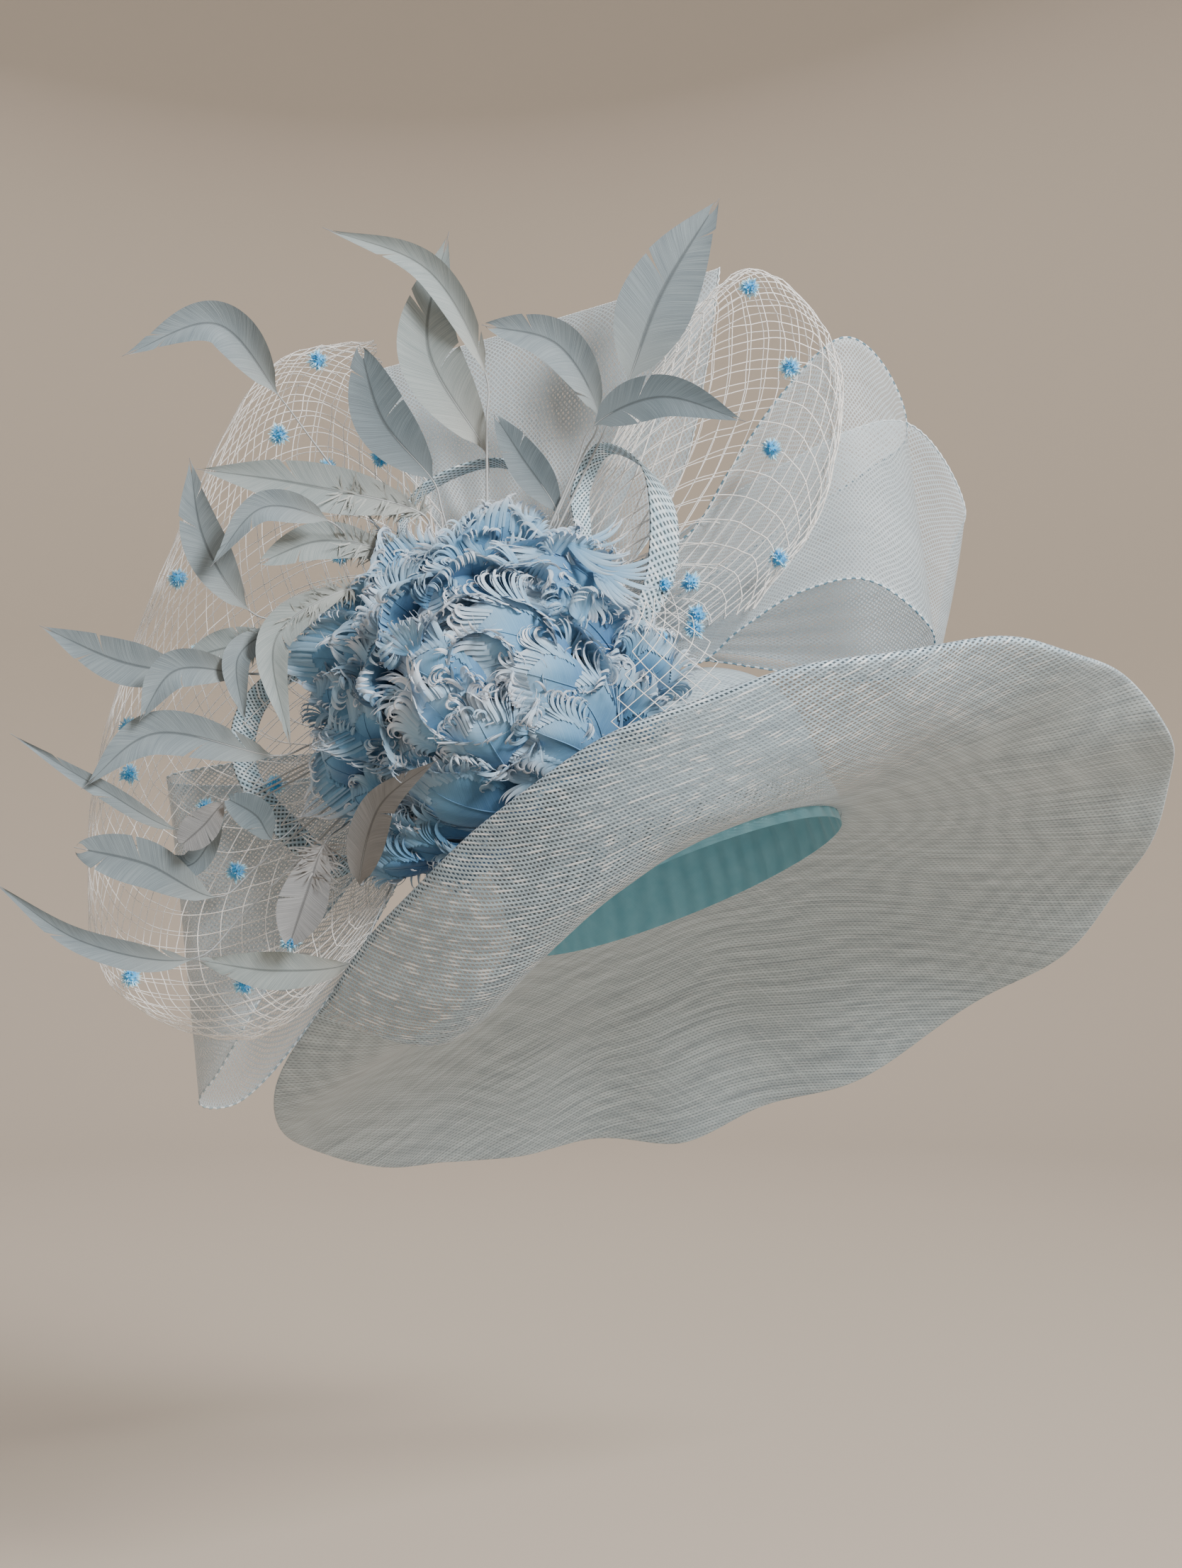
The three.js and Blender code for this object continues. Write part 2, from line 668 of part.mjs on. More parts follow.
function vaneWidth(row, share) {
  const rising = Math.sin((Math.PI / 2) * Math.min(1, share / row.peak)) ** 0.8;
  const past = Math.max(0, share - row.peak) / (1 - row.peak);
  return rising * Math.cos((Math.PI / 2) * past) ** (1.15 - 0.8 * row.blunt);
}

function makeFeather(row) {
  const place = (share) => vec(...share).multiplyScalar(spraySpan);
  const [base, bend, tip] = [row.base, row.bend, row.tip].map(place);
  const angle = Math.atan2(base.z, base.x);
  const root = vec(Math.cos(angle), 0, Math.sin(angle)).multiplyScalar(hubRadius - quillSeat);
  const layer = row.layer * sprayDepth;
  root.setY(layer);
  const stemY = layer + (base.y - layer) * stemRise;
  const stem = root.clone().lerp(base, stemShare).setY(stemY);
  const curve = new THREE.CatmullRomCurve3([root, stem, base, bend, tip], false, "centripetal");
  const lengths = curve.getLengths(200);
  const total = lengths[200];
  const baseShare = lengths[100] / total;
  const stations = [0, baseShare * 0.5];
  const vaneSteps = 6;
  for (let k = 0; k <= vaneSteps; k++) stations.push(baseShare + ((1 - baseShare) * k) / vaneSteps);
  const sections = stations.map((share) => {
    const centre = curve.getPointAt(share);
    const tangent = curve.getTangentAt(share);
    const side = tangent.clone().cross(vec(0, -1, 0)).normalize();
    const face = side.clone().cross(tangent).normalize();
    const along = Math.max(0, share - baseShare) / (1 - baseShare);
    const half = Math.max(quillHalf, row.half * vaneHalf * vaneWidth(row, along));
    const quill = quillHalf * (1 - quillTaper * along);
    const fold = row.cup * (half - quillHalf);
    return [
      centre.clone().addScaledVector(side, -half).addScaledVector(face, fold),
      centre.clone().addScaledVector(face, quill),
      centre.clone().addScaledVector(side, half).addScaledVector(face, fold),
      centre.clone().addScaledVector(face, -quill),
    ];
  });
  return piece("feather_" + row.name, seatedOnHub(loft(sections)), materials.feather);
}

// Sheets stretched straight between two curves.
function between(near, far) {
  const curves = [near, far].map((list) => {
    const points = list.map((place) => vec(...place).multiplyScalar(bowSpan));
    return new THREE.CatmullRomCurve3(points, false, "centripetal");
  });
  return (u, v) => curves[0].getPoint(u).lerp(curves[1].getPoint(u), v);
}

// Crinoline bow: each loop's two selvedges in the trimming's frame, as shares of the bow's span, from
// the hub out and back.
const crinolineLoops = [
  {
    name: "crinoline_tall_loop",
    near: [
      [0.03, 0.165, 0.065], [0.25, 0.185, 0.19], [0.39, 0.2, 0.4], [0.45, 0.215, 0.64],
      [0.48, 0.23, 0.865], [0.47, 0.29, 0.825], [0.305, 0.27, 0.44], [0.16, 0.23, 0.175],
      [0.04, 0.18, 0.065],
    ],
    far: [
      [-0.04, 0.165, 0.065], [-0.095, 0.185, 0.28], [-0.175, 0.2, 0.44], [-0.21, 0.215, 0.55],
      [-0.23, 0.23, 0.65], [-0.22, 0.29, 0.615], [-0.135, 0.27, 0.385], [-0.065, 0.23, 0.175],
      [-0.03, 0.18, 0.065],
    ],
    across: 16,
    along: 2,
  },
  {
    name: "crinoline_right_loop",
    near: [
      [0.055, 0.145, 0.025], [0.24, 0.13, 0.03], [0.43, 0.11, 0.025], [0.52, 0.085, 0.095],
      [0.64, 0.065, 0.17], [0.775, 0.065, 0.195], [0.905, 0.11, 0.105], [0.915, 0.185, 0.05],
      [0.83, 0.24, 0], [0.665, 0.255, 0.01], [0.44, 0.24, 0.04], [0.2, 0.21, 0.04],
      [0.05, 0.165, 0.025],
    ],
    far: [
      [0.05, 0.145, 0.065], [0.24, 0.135, 0.2], [0.415, 0.12, 0.29], [0.495, 0.105, 0.415],
      [0.6, 0.09, 0.57], [0.73, 0.095, 0.69], [0.83, 0.16, 0.63], [0.88, 0.225, 0.505],
      [0.8, 0.265, 0.44], [0.64, 0.27, 0.335], [0.44, 0.255, 0.2], [0.225, 0.215, 0.08],
      [0.05, 0.165, 0.04],
    ],
    across: 20,
    along: 2,
  },
  {
    name: "crinoline_outer_loop",
    near: [
      [0.05, 0.185, 0.015], [0.24, 0.265, 0.055], [0.56, 0.335, 0.055], [0.825, 0.37, 0.01],
      [0.96, 0.39, 0.025], [0.97, 0.45, 0.05],
    ],
    far: [
      [0.04, 0.185, 0.05], [0.24, 0.29, 0.185], [0.6, 0.37, 0.45], [0.895, 0.385, 0.56],
      [1.025, 0.415, 0.375], [1, 0.465, 0.28],
    ],
    across: 12,
    along: 2,
  },
  {
    name: "crinoline_left_loop",
    near: [
      [-0.05, 0.15, -0.05], [-0.28, 0.15, -0.415], [-0.45, 0.135, -0.63], [-0.56, 0.135, -0.82],
      [-0.61, 0.175, -0.89], [-0.535, 0.24, -0.895], [-0.32, 0.25, -0.64], [-0.095, 0.21, -0.225],
      [-0.04, 0.175, -0.05],
    ],
    far: [
      [-0.065, 0.15, -0.01], [-0.28, 0.15, -0.145], [-0.48, 0.145, -0.175], [-0.67, 0.15, -0.21],
      [-0.66, 0.2, -0.225], [-0.455, 0.25, -0.225], [-0.24, 0.25, -0.175], [-0.12, 0.22, -0.105],
      [-0.055, 0.175, -0.015],
    ],
    across: 18,
    along: 2,
  },
];

// Bias straw loops and curls of the same cloth as the brim.
const biasLoops = [
  {
    name: "bias_tall_loop",
    near: [
      [0.05, 0.055, 0.05], [0.16, 0.055, 0.2], [0.18, 0.055, 0.27], [0.17, 0.055, 0.37],
      [0.225, 0.055, 0.47], [0.305, 0.055, 0.435], [0.33, 0.055, 0.28], [0.295, 0.055, 0.135],
      [0.16, 0.055, 0.05], [0.04, 0.055, 0.015],
    ],
    far: [
      [0.055, 0.09, 0.04], [0.175, 0.08, 0.19], [0.21, 0.075, 0.27], [0.21, 0.075, 0.375],
      [0.255, 0.075, 0.45], [0.37, 0.075, 0.37], [0.39, 0.075, 0.24], [0.345, 0.08, 0.12],
      [0.175, 0.09, 0.025], [0.05, 0.09, 0],
    ],
    across: 20,
  },
  {
    name: "bias_curl_left",
    near: [
      [-0.04, 0.055, 0.07], [-0.175, 0.055, 0.2], [-0.18, 0.055, 0.31], [-0.135, 0.055, 0.385],
      [0.015, 0.055, 0.44], [0.11, 0.055, 0.4], [0.15, 0.055, 0.345],
    ],
    far: [
      [-0.03, 0.09, 0.07], [-0.16, 0.09, 0.205], [-0.165, 0.09, 0.31], [-0.125, 0.09, 0.37],
      [0.015, 0.09, 0.425], [0.1, 0.09, 0.39], [0.135, 0.09, 0.34],
    ],
    across: 14,
  },
  {
    name: "bias_low_loop",
    near: [
      [-0.07, 0.055, 0.01], [-0.305, 0.055, 0.025], [-0.425, 0.055, 0.015], [-0.51, 0.055, -0.07],
      [-0.52, 0.055, -0.185], [-0.43, 0.055, -0.33], [-0.305, 0.055, -0.415],
      [-0.16, 0.055, -0.24], [-0.05, 0.06, -0.055],
    ],
    far: [
      [-0.075, 0.09, -0.01], [-0.305, 0.09, -0.01], [-0.41, 0.09, -0.02], [-0.465, 0.09, -0.09],
      [-0.475, 0.09, -0.185], [-0.4, 0.09, -0.29], [-0.29, 0.09, -0.37], [-0.15, 0.09, -0.215],
      [-0.04, 0.09, -0.05],
    ],
    across: 20,
  },
];

function makeSheet(row, thickness, material) {
  const surface = between(row.near, row.far);
  const geometry = wall({ surface, across: row.across, along: row.along ?? 1, thickness });
  return piece(row.name, seatedOnHub(geometry), material);
}

// Veiling: puffs of open net gathered at the hub, with chenille dots tied on some knots.
const veils = [
  {
    name: "veil_left",
    near: [
      [0.015, 0.12, 0.055], [-0.05, 0.12, 0.055], [-0.07, 0.12, 0], [-0.05, 0.12, -0.055],
      [0.015, 0.12, -0.055],
    ],
    far: [
      [-0.24, 0.11, 0.69], [-0.44, 0.105, 0.64], [-0.66, 0.105, 0.24], [-0.82, 0.105, -0.28],
      [-0.77, 0.09, -0.64], [-0.48, 0.08, -0.745], [-0.255, 0.07, -0.56],
    ],
    across: 12,
    along: 8,
    dots: [[1, 7], [3, 7], [5, 7], [7, 7], [9, 7], [11, 7], [10, 6]],
  },
  {
    name: "veil_right",
    near: [
      [-0.01, 0.125, 0.055], [0.04, 0.125, 0.065], [0.07, 0.125, 0.015], [0.065, 0.125, -0.03],
    ],
    far: [
      [0.415, 0.095, 0.745], [0.545, 0.08, 0.83], [0.705, 0.055, 0.67], [0.69, 0.045, 0.36],
      [0.545, 0.055, 0.135],
    ],
    across: 12,
    along: 6,
    dots: [[2, 6], [4, 6], [6, 6], [9, 5], [10, 4]],
  },
];

function makeVeil(row) {
  const { geometry, knots } = net({
    surface: between(row.near, row.far),
    across: row.across,
    along: row.along,
    strand: veilStrand,
    thickness: veilThickness,
  });
  let solid = toSolid(geometry);
  for (const [i, j] of row.dots) {
    const knot = knots.get(i + "," + j);
    const dot = new THREE.IcosahedronGeometry(dotRadius, 0);
    dot.translate(knot.middle.x, knot.middle.y, knot.middle.z);
    solid = solid.add(toSolid(dot));
  }
  return piece(row.name, seatedOnHub(toGeometry(solid)), materials.veil);
}

hat.add(makeSweatband(), makeCrown(), makeBrim());
trim.add(makeHub());
whorls.forEach((whorl, level) => trim.add(makeWhorl(whorl, level)));
for (const row of feathers) trim.add(makeFeather(row));
for (const row of crinolineLoops) trim.add(makeSheet(row, crinolineThickness, materials.crinoline));
for (const row of biasLoops) trim.add(makeSheet(row, biasThickness, materials.straw));
for (const row of veils) trim.add(makeVeil(row));

const part = new THREE.Group();
part.add(hat);
export default part;
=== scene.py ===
import math

import bpy
import numpy as np
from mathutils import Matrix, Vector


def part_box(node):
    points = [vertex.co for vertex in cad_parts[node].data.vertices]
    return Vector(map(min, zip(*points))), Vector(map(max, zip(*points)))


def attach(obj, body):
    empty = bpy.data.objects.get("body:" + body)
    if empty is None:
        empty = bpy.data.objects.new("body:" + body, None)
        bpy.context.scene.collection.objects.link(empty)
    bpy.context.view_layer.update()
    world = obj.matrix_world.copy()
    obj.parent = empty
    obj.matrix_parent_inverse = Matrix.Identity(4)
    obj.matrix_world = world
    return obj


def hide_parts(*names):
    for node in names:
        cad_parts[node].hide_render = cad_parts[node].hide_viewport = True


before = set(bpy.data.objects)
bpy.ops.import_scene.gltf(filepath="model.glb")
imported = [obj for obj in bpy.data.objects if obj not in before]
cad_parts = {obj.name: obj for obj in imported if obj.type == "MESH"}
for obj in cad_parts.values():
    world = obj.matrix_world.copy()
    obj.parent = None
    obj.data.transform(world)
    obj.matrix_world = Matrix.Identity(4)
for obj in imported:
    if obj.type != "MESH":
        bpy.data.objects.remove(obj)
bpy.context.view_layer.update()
print("frame loaded")

mm = 0.001  # every table below is in millimetres
startSide = (0.31, 0.83, 0.47)  # the way that a tube's first ring is laid out from
chance = np.random.default_rng(11)


class Wire:
    # a node's output, so that shader maths reads as an expression
    def __init__(self, paint, socket):
        self.paint = paint
        self.socket = socket

    def calc(self, operation, *values):
        return self.paint.node("ShaderNodeMath", {"operation": operation}, dict(enumerate(values)))

    def __add__(self, other):
        return self.calc("ADD", self, other)

    def __radd__(self, other):
        return self.calc("ADD", other, self)

    def __sub__(self, other):
        return self.calc("SUBTRACT", self, other)

    def __rsub__(self, other):
        return self.calc("SUBTRACT", other, self)

    def __mul__(self, other):
        return self.calc("MULTIPLY", self, other)

    def __rmul__(self, other):
        return self.calc("MULTIPLY", other, self)

    def __pow__(self, other):
        return self.calc("POWER", self, other)

    def __abs__(self):
        return self.calc("ABSOLUTE", self)

    def sin(self):
        return self.calc("SINE", self)

    def most(self, other):
        return self.calc("MAXIMUM", self, other)

    def least(self, other):
        return self.calc("MINIMUM", self, other)

    def step(self, low, high):
        # 0 below low, 1 above high, smooth between
        return self.paint.node("ShaderNodeMapRange", {"interpolation_type": "SMOOTHSTEP"},
                               {"Value": self, "From Min": low, "From Max": high})


class Paint:
    # one material and the nodes that make it
    def __init__(self, name):
        self.material = bpy.data.materials.new(name)
        self.material.use_nodes = True
        self.tree = self.material.node_tree
        self.tree.nodes.clear()

    def node(self, kind, settings=None, sockets=None, out=0):
        made = self.tree.nodes.new(kind)
        for key, value in (settings or {}).items():
            if key == "stops":
                ramp = made.color_ramp.elements
                while len(ramp) < len(value):
                    ramp.new(1)
                for stop, (place, colour) in zip(ramp, value):
                    stop.position = place
                    stop.color = (*colour, 1)
            else:
                setattr(made, key, value)
        for key, value in (sockets or {}).items():
            if isinstance(value, Wire):
                self.tree.links.new(value.socket, made.inputs[key])
            else:
                made.inputs[key].default_value = value
        return Wire(self, made.outputs[out])

    def value(self, name):
        return self.node("ShaderNodeAttribute", {"attribute_name": name}, out="Fac")

    def at(self, x, y, z=0.0):
        return self.node("ShaderNodeCombineXYZ", {}, {0: x, 1: y, 2: z})

    def noise(self, place, scale, detail=2.0, rough=0.5):
        sockets = {"Vector": place, "Scale": scale, "Detail": detail, "Roughness": rough}
        return self.node("ShaderNodeTexNoise", {}, sockets)

    def mix(self, share, first, second):
        first, second = ((*c, 1) if isinstance(c, tuple) else c for c in (first, second))
        return self.node("ShaderNodeMix", {"data_type": "RGBA"}, {0: share, 6: first, 7: second}, out=2)

    def ramp(self, share, stops):
        return self.node("ShaderNodeValToRGB", {"stops": stops}, {0: share})

    def bump(self, height, strength, distance):
        return self.node("ShaderNodeBump", {}, {"Height": height, "Strength": strength, "Distance": distance})

    def done(self, sockets):
        shader = self.node("ShaderNodeBsdfPrincipled", {}, sockets)
        output = self.tree.nodes.new("ShaderNodeOutputMaterial")
        self.tree.links.new(shader.socket, output.inputs["Surface"])
        return self.material


class Heap:
    # gathers grids and tubes into one mesh, with named values on its points
    def __init__(self, *names):
        self.points = []
        self.faces = []
        self.values = {name: [] for name in names}
        self.size = 0

    def grid(self, points, ringRows=False, ringColumns=False, **values):
        rows, columns = points.shape[:2]
        index = self.size + np.arange(rows * columns).reshape(rows, columns)
        if ringRows:
            index = np.vstack([index, index[:1]])
        if ringColumns:
            index = np.hstack([index, index[:, :1]])
        corners = [index[:-1, :-1], index[1:, :-1], index[1:, 1:], index[:-1, 1:]]
        self.faces.append(np.stack(corners, -1).reshape(-1, 4))
        self.points.append(points.reshape(-1, 3))
        for name, kept in self.values.items():
            kept.append(np.broadcast_to(values.get(name, 0.0), (rows, columns)).reshape(-1))
        self.size += rows * columns

    def tube(self, path, radius, sides=4, **values):
        path = np.asarray(path, float)
        radius = np.broadcast_to(radius, len(path))
        ahead = unit(np.gradient(path, axis=0))
        side = unit(np.cross(ahead[0], startSide))
        rings = []
        turns = roundTurns(sides)
        for place, forward, size in zip(path, ahead, radius):
            side = unit(side - forward * np.dot(side, forward))
            up = np.cross(forward, side)
            rings.append(place + size * (np.outer(np.cos(turns), side) + np.outer(np.sin(turns), up)))
        values = {k: np.asarray(v)[:, None] if np.ndim(v) else v for k, v in values.items()}
        self.grid(np.array(rings), ringColumns=True, **values)

    def shape(self, name, finish):
        points = np.concatenate(self.points) * mm
        faces = np.concatenate(self.faces)
        mesh = bpy.data.meshes.new(name)
        mesh.from_pydata(points.tolist(), [], faces.tolist())
        mesh.polygons.foreach_set("use_smooth", np.ones(len(faces), bool))
        for key, kept in self.values.items():
            layer = mesh.attributes.new(key, "FLOAT", "POINT")
            layer.data.foreach_set("value", np.concatenate(kept).astype(np.float32))
        mesh.materials.append(finish)
        mesh.update()
        made = bpy.data.objects.new(name, mesh)
        bpy.context.collection.objects.link(made)
        return made

    def make(self, name, finish, slot, *nodes):
        # a piece of the hat, which stands for the nodes named last
        piece = self.shape(name, finish)
        print(name, 2 * len(piece.data.polygons), "triangles")
        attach(piece, "root")
        if nodes:
            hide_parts(*nodes)
        return piece


def unit(v):
    return v / np.maximum(1e-9, np.linalg.norm(v, axis=-1, keepdims=True))


def smooth(x):
    x = np.clip(x, 0, 1)
    return x * x * (3 - 2 * x)


def crossed(first, second):
    # every value of the first with every value of the second
    return np.meshgrid(first, second, indexing="ij")


def roundTurns(count):
    # even angles of one full turn, in radians
    return np.arange(count) * 2 * math.pi / count


def curveThrough(points):
    # a centripetal curve through points, read at shares of their count
    rows = np.asarray(points, float)
    last = len(rows) - 1
    rows = np.vstack([2 * rows[0] - rows[1], rows, 2 * rows[-1] - rows[-2]])

    def read(share):
        place = np.clip(np.asarray(share, float), 0, 1) * last
        k = np.minimum(place.astype(int), last - 1)
        t = (place - k)[..., None]
        a, b, c, d = (rows[k + i] for i in range(4))
        ab, bc, cd = (np.maximum(1e-3, np.linalg.norm(q - p, axis=-1, keepdims=True)) ** 0.5
                      for p, q in ((a, b), (b, c), (c, d)))
        leave = ((b - a) / ab - (c - a) / (ab + bc) + (c - b) / bc) * bc
        arrive = ((c - b) / bc - (d - b) / (bc + cd) + (d - c) / cd) * bc
        return (b + t * leave + t * t * (3 * c - 3 * b - 2 * leave - arrive)
                + t ** 3 * (2 * b - 2 * c + leave + arrive))

    return read


def evenly(curve, count):
    # points at even lengths along a curve, and the length in all
    shares = np.linspace(0, 1, 400)
    fine = curve(shares)
    gone = np.concatenate([[0], np.cumsum(np.linalg.norm(np.diff(fine, axis=0), axis=1))])
    places = np.interp(np.linspace(0, 1, count) * gone[-1], gone, shares)
    return curve(places), gone[-1]


def turned(axis, degrees):
    c, s = math.cos(math.radians(degrees)), math.sin(math.radians(degrees))
    if axis == "X":
        return np.array([[1, 0, 0], [0, c, -s], [0, s, c]])
    return np.array([[c, 0, s], [0, 1, 0], [-s, 0, c]])


# how the hat sits and its main sizes, as in the part's source
hat = {"roll": 22, "pitch": 12, "headWidth": 180, "headDepth": 194, "crownOuter": 93.3, "crownHeight": 98,
       "shoulder": 52, "squash": 0.9, "brim": 180, "hub": (-53, -96, 119), "hubRadius": 24, "bow": 250,
       "spray": 240, "flower": 104, "flowerDepth": 70}
worn = turned("Y", -hat["roll"]) @ turned("X", -hat["pitch"])
hubPlace = worn @ np.array(hat["hub"], float)
stretch = hat["headDepth"] / hat["headWidth"]


def fromHat(points):
    return points @ worn.T


def onHat(r, turn, z):
    # points on ovals as deep as the head, leaned as the hat is worn
    return fromHat(np.stack([r * np.cos(turn), r * np.sin(turn) * stretch, z], -1))


# the photograph's frame and lens in pixels, and where the camera stands
view = {"wide": 1668, "tall": 2212, "focal": 3448, "right": -47.5, "away": 1300, "up": 50.5, "sensor": 36}
cameraData = bpy.data.cameras.new("camera")
cameraData.sensor_fit = "VERTICAL"
cameraData.sensor_height = view["sensor"]
cameraData.lens = view["sensor"] * view["focal"] / view["tall"]
camera = bpy.data.objects.new("camera", cameraData)
camera.location = (view["right"] * mm, -view["away"] * mm, view["up"] * mm)
camera.rotation_euler = (math.pi / 2, 0, 0)
bpy.context.collection.objects.link(camera)
bpy.context.scene.camera = camera


def seenAt(points):
    # where points stand in the photograph's frame
    x, y, z = points[..., 0], points[..., 1], points[..., 2]
    away = view["away"] + y
    return np.stack([view["wide"] / 2 + (x - view["right"]) * view["focal"] / away,
                     view["tall"] / 2 - (z - view["up"]) * view["focal"] / away], -1)


stageSizes = {"floor": -420, "flat": 1900, "bend": 700, "wall": 2600, "sides": 96, "bendRows": 14,
              "colour": (0.42, 0.36, 0.30)}


def makeStage():
    p = Paint("studio_paper")
    grain = p.noise(p.node("ShaderNodeTexCoord", out="Object"), 3.0, 4.0)
    pale = stageSizes["colour"]
    tone = p.mix(grain, tuple(0.97 * c for c in pale), pale)
    finish = p.done({"Base Color": tone, "Roughness": 0.9})
    flat, bend, wall = stageSizes["flat"], stageSizes["bend"], stageSizes["wall"]
    profile = [(r, 0) for r in np.linspace(0, flat, 8)]
    profile += [(flat + bend * math.sin(t), bend * (1 - math.cos(t)))
                for t in np.linspace(0.1, math.pi / 2, stageSizes["bendRows"])]
    profile += [(flat + bend, bend + (wall - bend) * k / 4) for k in range(1, 5)]
    heap = Heap()
    heap.grid(np.array([[(r * math.cos(t), r * math.sin(t), stageSizes["floor"] + z) for r, z in profile]
                        for t in roundTurns(stageSizes["sides"])]), ringRows=True)
    floor = heap.shape("floor", finish)


lamps = {
    "key": {"at": (1.4, -1.6, 1.55), "size": 0.7, "power": 122, "colour": (1, 0.985, 0.96)},
    "fill": {"at": (-1.9, -1.4, 1.1), "size": 1.6, "power": 8, "colour": (0.95, 0.97, 1)},
    "back": {"at": (-0.3, 1.7, 1.9), "size": 1.2, "power": 50, "colour": (1, 0.99, 0.97)},
    "under": {"at": (1.2, -1.3, -0.3), "size": 1.0, "power": 5, "colour": (1, 0.97, 0.93)},
}
sky = {"colour": (0.95, 0.97, 1), "strength": 0.16}


def makeLights():
    for name, row in lamps.items():
        data = bpy.data.lights.new(name, "AREA")
        data.size = row["size"]
        data.energy = row["power"]
        data.color = row["colour"]
        lamp = bpy.data.objects.new(name, data)
        lamp.location = row["at"]
        aim = -lamp.location.normalized()
        lamp.rotation_euler = aim.to_track_quat("-Z", "Y").to_euler()
        lamp.visible_camera = False
        bpy.context.collection.objects.link(lamp)
    world = bpy.data.worlds.new("studio")
    bpy.context.scene.world = world
    world.use_nodes = True
    glow = world.node_tree.nodes["Background"].inputs
    glow["Color"].default_value = (*sky["colour"], 1)
    glow["Strength"].default_value = sky["strength"]


makeStage()
makeLights()
print("camera, stage and lights made")


# colours of the straw, the slants of its two threads, their pitch and the finer one where it isn't bold,
# how open the holes are, how strong the painted silver glints are, the arcs round the brim and the share of
# long streaks
straws = {
    "brim_straw": {"light": (0.39, 0.54, 0.65), "shade": (0.14, 0.22, 0.29), "lay": (0.1, 1.15), "pitch": 2.3,
                   "fine": 1.15, "holes": 0.5, "glint": 0.9, "arcs": 0.12, "streak": 0.24},
    "bias_straw": {"light": (0.66, 0.80, 0.88), "shade": (0.26, 0.45, 0.57), "lay": (0.75, -0.75),
                   "pitch": 2.3, "fine": 2.3, "holes": 0.1, "glint": 1.0, "arcs": 0.0, "streak": 0.1},
}
# colour of the painted silver glints
glintPaintColour = (0.93, 0.96, 0.98)
paintedThreadHighlight = (0.64, 0.77, 0.86)  # painted highlight: a lighter, bluer cast on the boldest threads


def strawFinish(name):
    # open straw cloth in millimetres: threads along the cloth, crossed by slanting ones
    row = straws[name]
    light, shade, pitch, streak = row["light"], row["shade"], row["pitch"], row["streak"]
    first, second = row["lay"]
    p = Paint(name)
    x, y = p.value("clothX"), p.value("clothY")
    bold = p.value("open")  # 1 where the weave shows boldly; off it the straw gets painted warm light
    wobble = p.noise(p.at(x, y), 0.018, 2.0) * 1.6
    a = (y * math.cos(first) - x * math.sin(first)) * (1 / pitch) + wobble
    b = (y * math.cos(second) - x * math.sin(second)) * (1 / pitch) - wobble
    warp = abs((a * math.pi).sin())
    weft = abs((b * math.pi).sin())
    coarse = warp.step(0.42, 0.92).most(weft.step(0.55, 0.97) * 0.9)
    closer = math.pi * pitch / row["fine"]
    close = abs((a * closer).sin()).step(0.2, 0.8).most(abs((b * closer).sin()).step(0.3, 1.0) * 0.8)
    thread = coarse * bold + (coarse * 0.4 + close * 0.2 + 0.4) * (1 - bold)
    slubA = p.noise(p.at(a * 1.0, b * 0.03), 1.0, 3.0)
    slubB = p.noise(p.at(b * 1.0, a * 0.03, 7.0), 1.0, 3.0)
    slub = slubA * 0.75 + slubB * 0.25
    long = p.noise(p.at(x * 0.015, y * 0.7, 3.0), 1.0, 5.0, 0.75)
    tone = slub.step(0.36, 0.66) * (1 - streak) + long.step(0.3, 0.7) * streak
    if row["arcs"]:
        ring = (x * x + y * y) ** 0.5
        sweep = p.noise(p.at(x, y, 5.0), 0.008, 1.0) * 40
        tone = tone + (ring * 0.4 + sweep).sin() * row["arcs"]
    # painted light: off the bold weave the straw is lifted lighter and warmer, standing in for warm light
    # reflected onto the underside
    tone = (tone * (0.72 + bold * 0.28) + (1 - bold) * 0.3).least(1.0).most(0.0)
    paintedWarmShade = tuple(c * k for c, k in zip(shade, (1.35, 1.14, 1.05)))
    paintedWarmLight = tuple(c * k for c, k in zip(light, (1.27, 1.12, 1.02)))
    colour = p.mix(tone, p.mix(bold, paintedWarmShade, shade), p.mix(bold, paintedWarmLight, light))
    # painted glints: near-white silver spots on the threads, stronger where the weave is bold; they also
    # lower the roughness
    paintedGlint = p.noise(p.at(a * 0.9, b * 0.22, 11.0), 1.0, 2.0).step(0.52, 0.64)
    paintedGlint = paintedGlint * warp.step(0.45, 1.0) * (0.15 + bold * 0.6) * row["glint"]
    gap = (1 - thread) * 0.95
    # painted highlight on the threads of the bold weave
    colour = p.mix(bold * thread * 0.3, colour, paintedThreadHighlight)
    # painted shade: the gaps between threads are painted near-black, as if dark behind the holes; the same
    # gaps also open real holes in Alpha
    colour = p.mix(gap, colour, tuple(0.13 * c for c in shade))
    colour = p.mix(paintedGlint, colour, glintPaintColour)
    return p.done({"Base Color": colour, "Roughness": 0.6 - paintedGlint * 0.35,
                   "Alpha": 1 - gap.step(0.5, 0.9) * row["holes"], "Normal": p.bump(thread, 0.6, 0.0004),
                   "Sheen Weight": 0.25, "Specular IOR Level": 0.4})


brimStraw = strawFinish("brim_straw")
biasStraw = strawFinish("bias_straw")

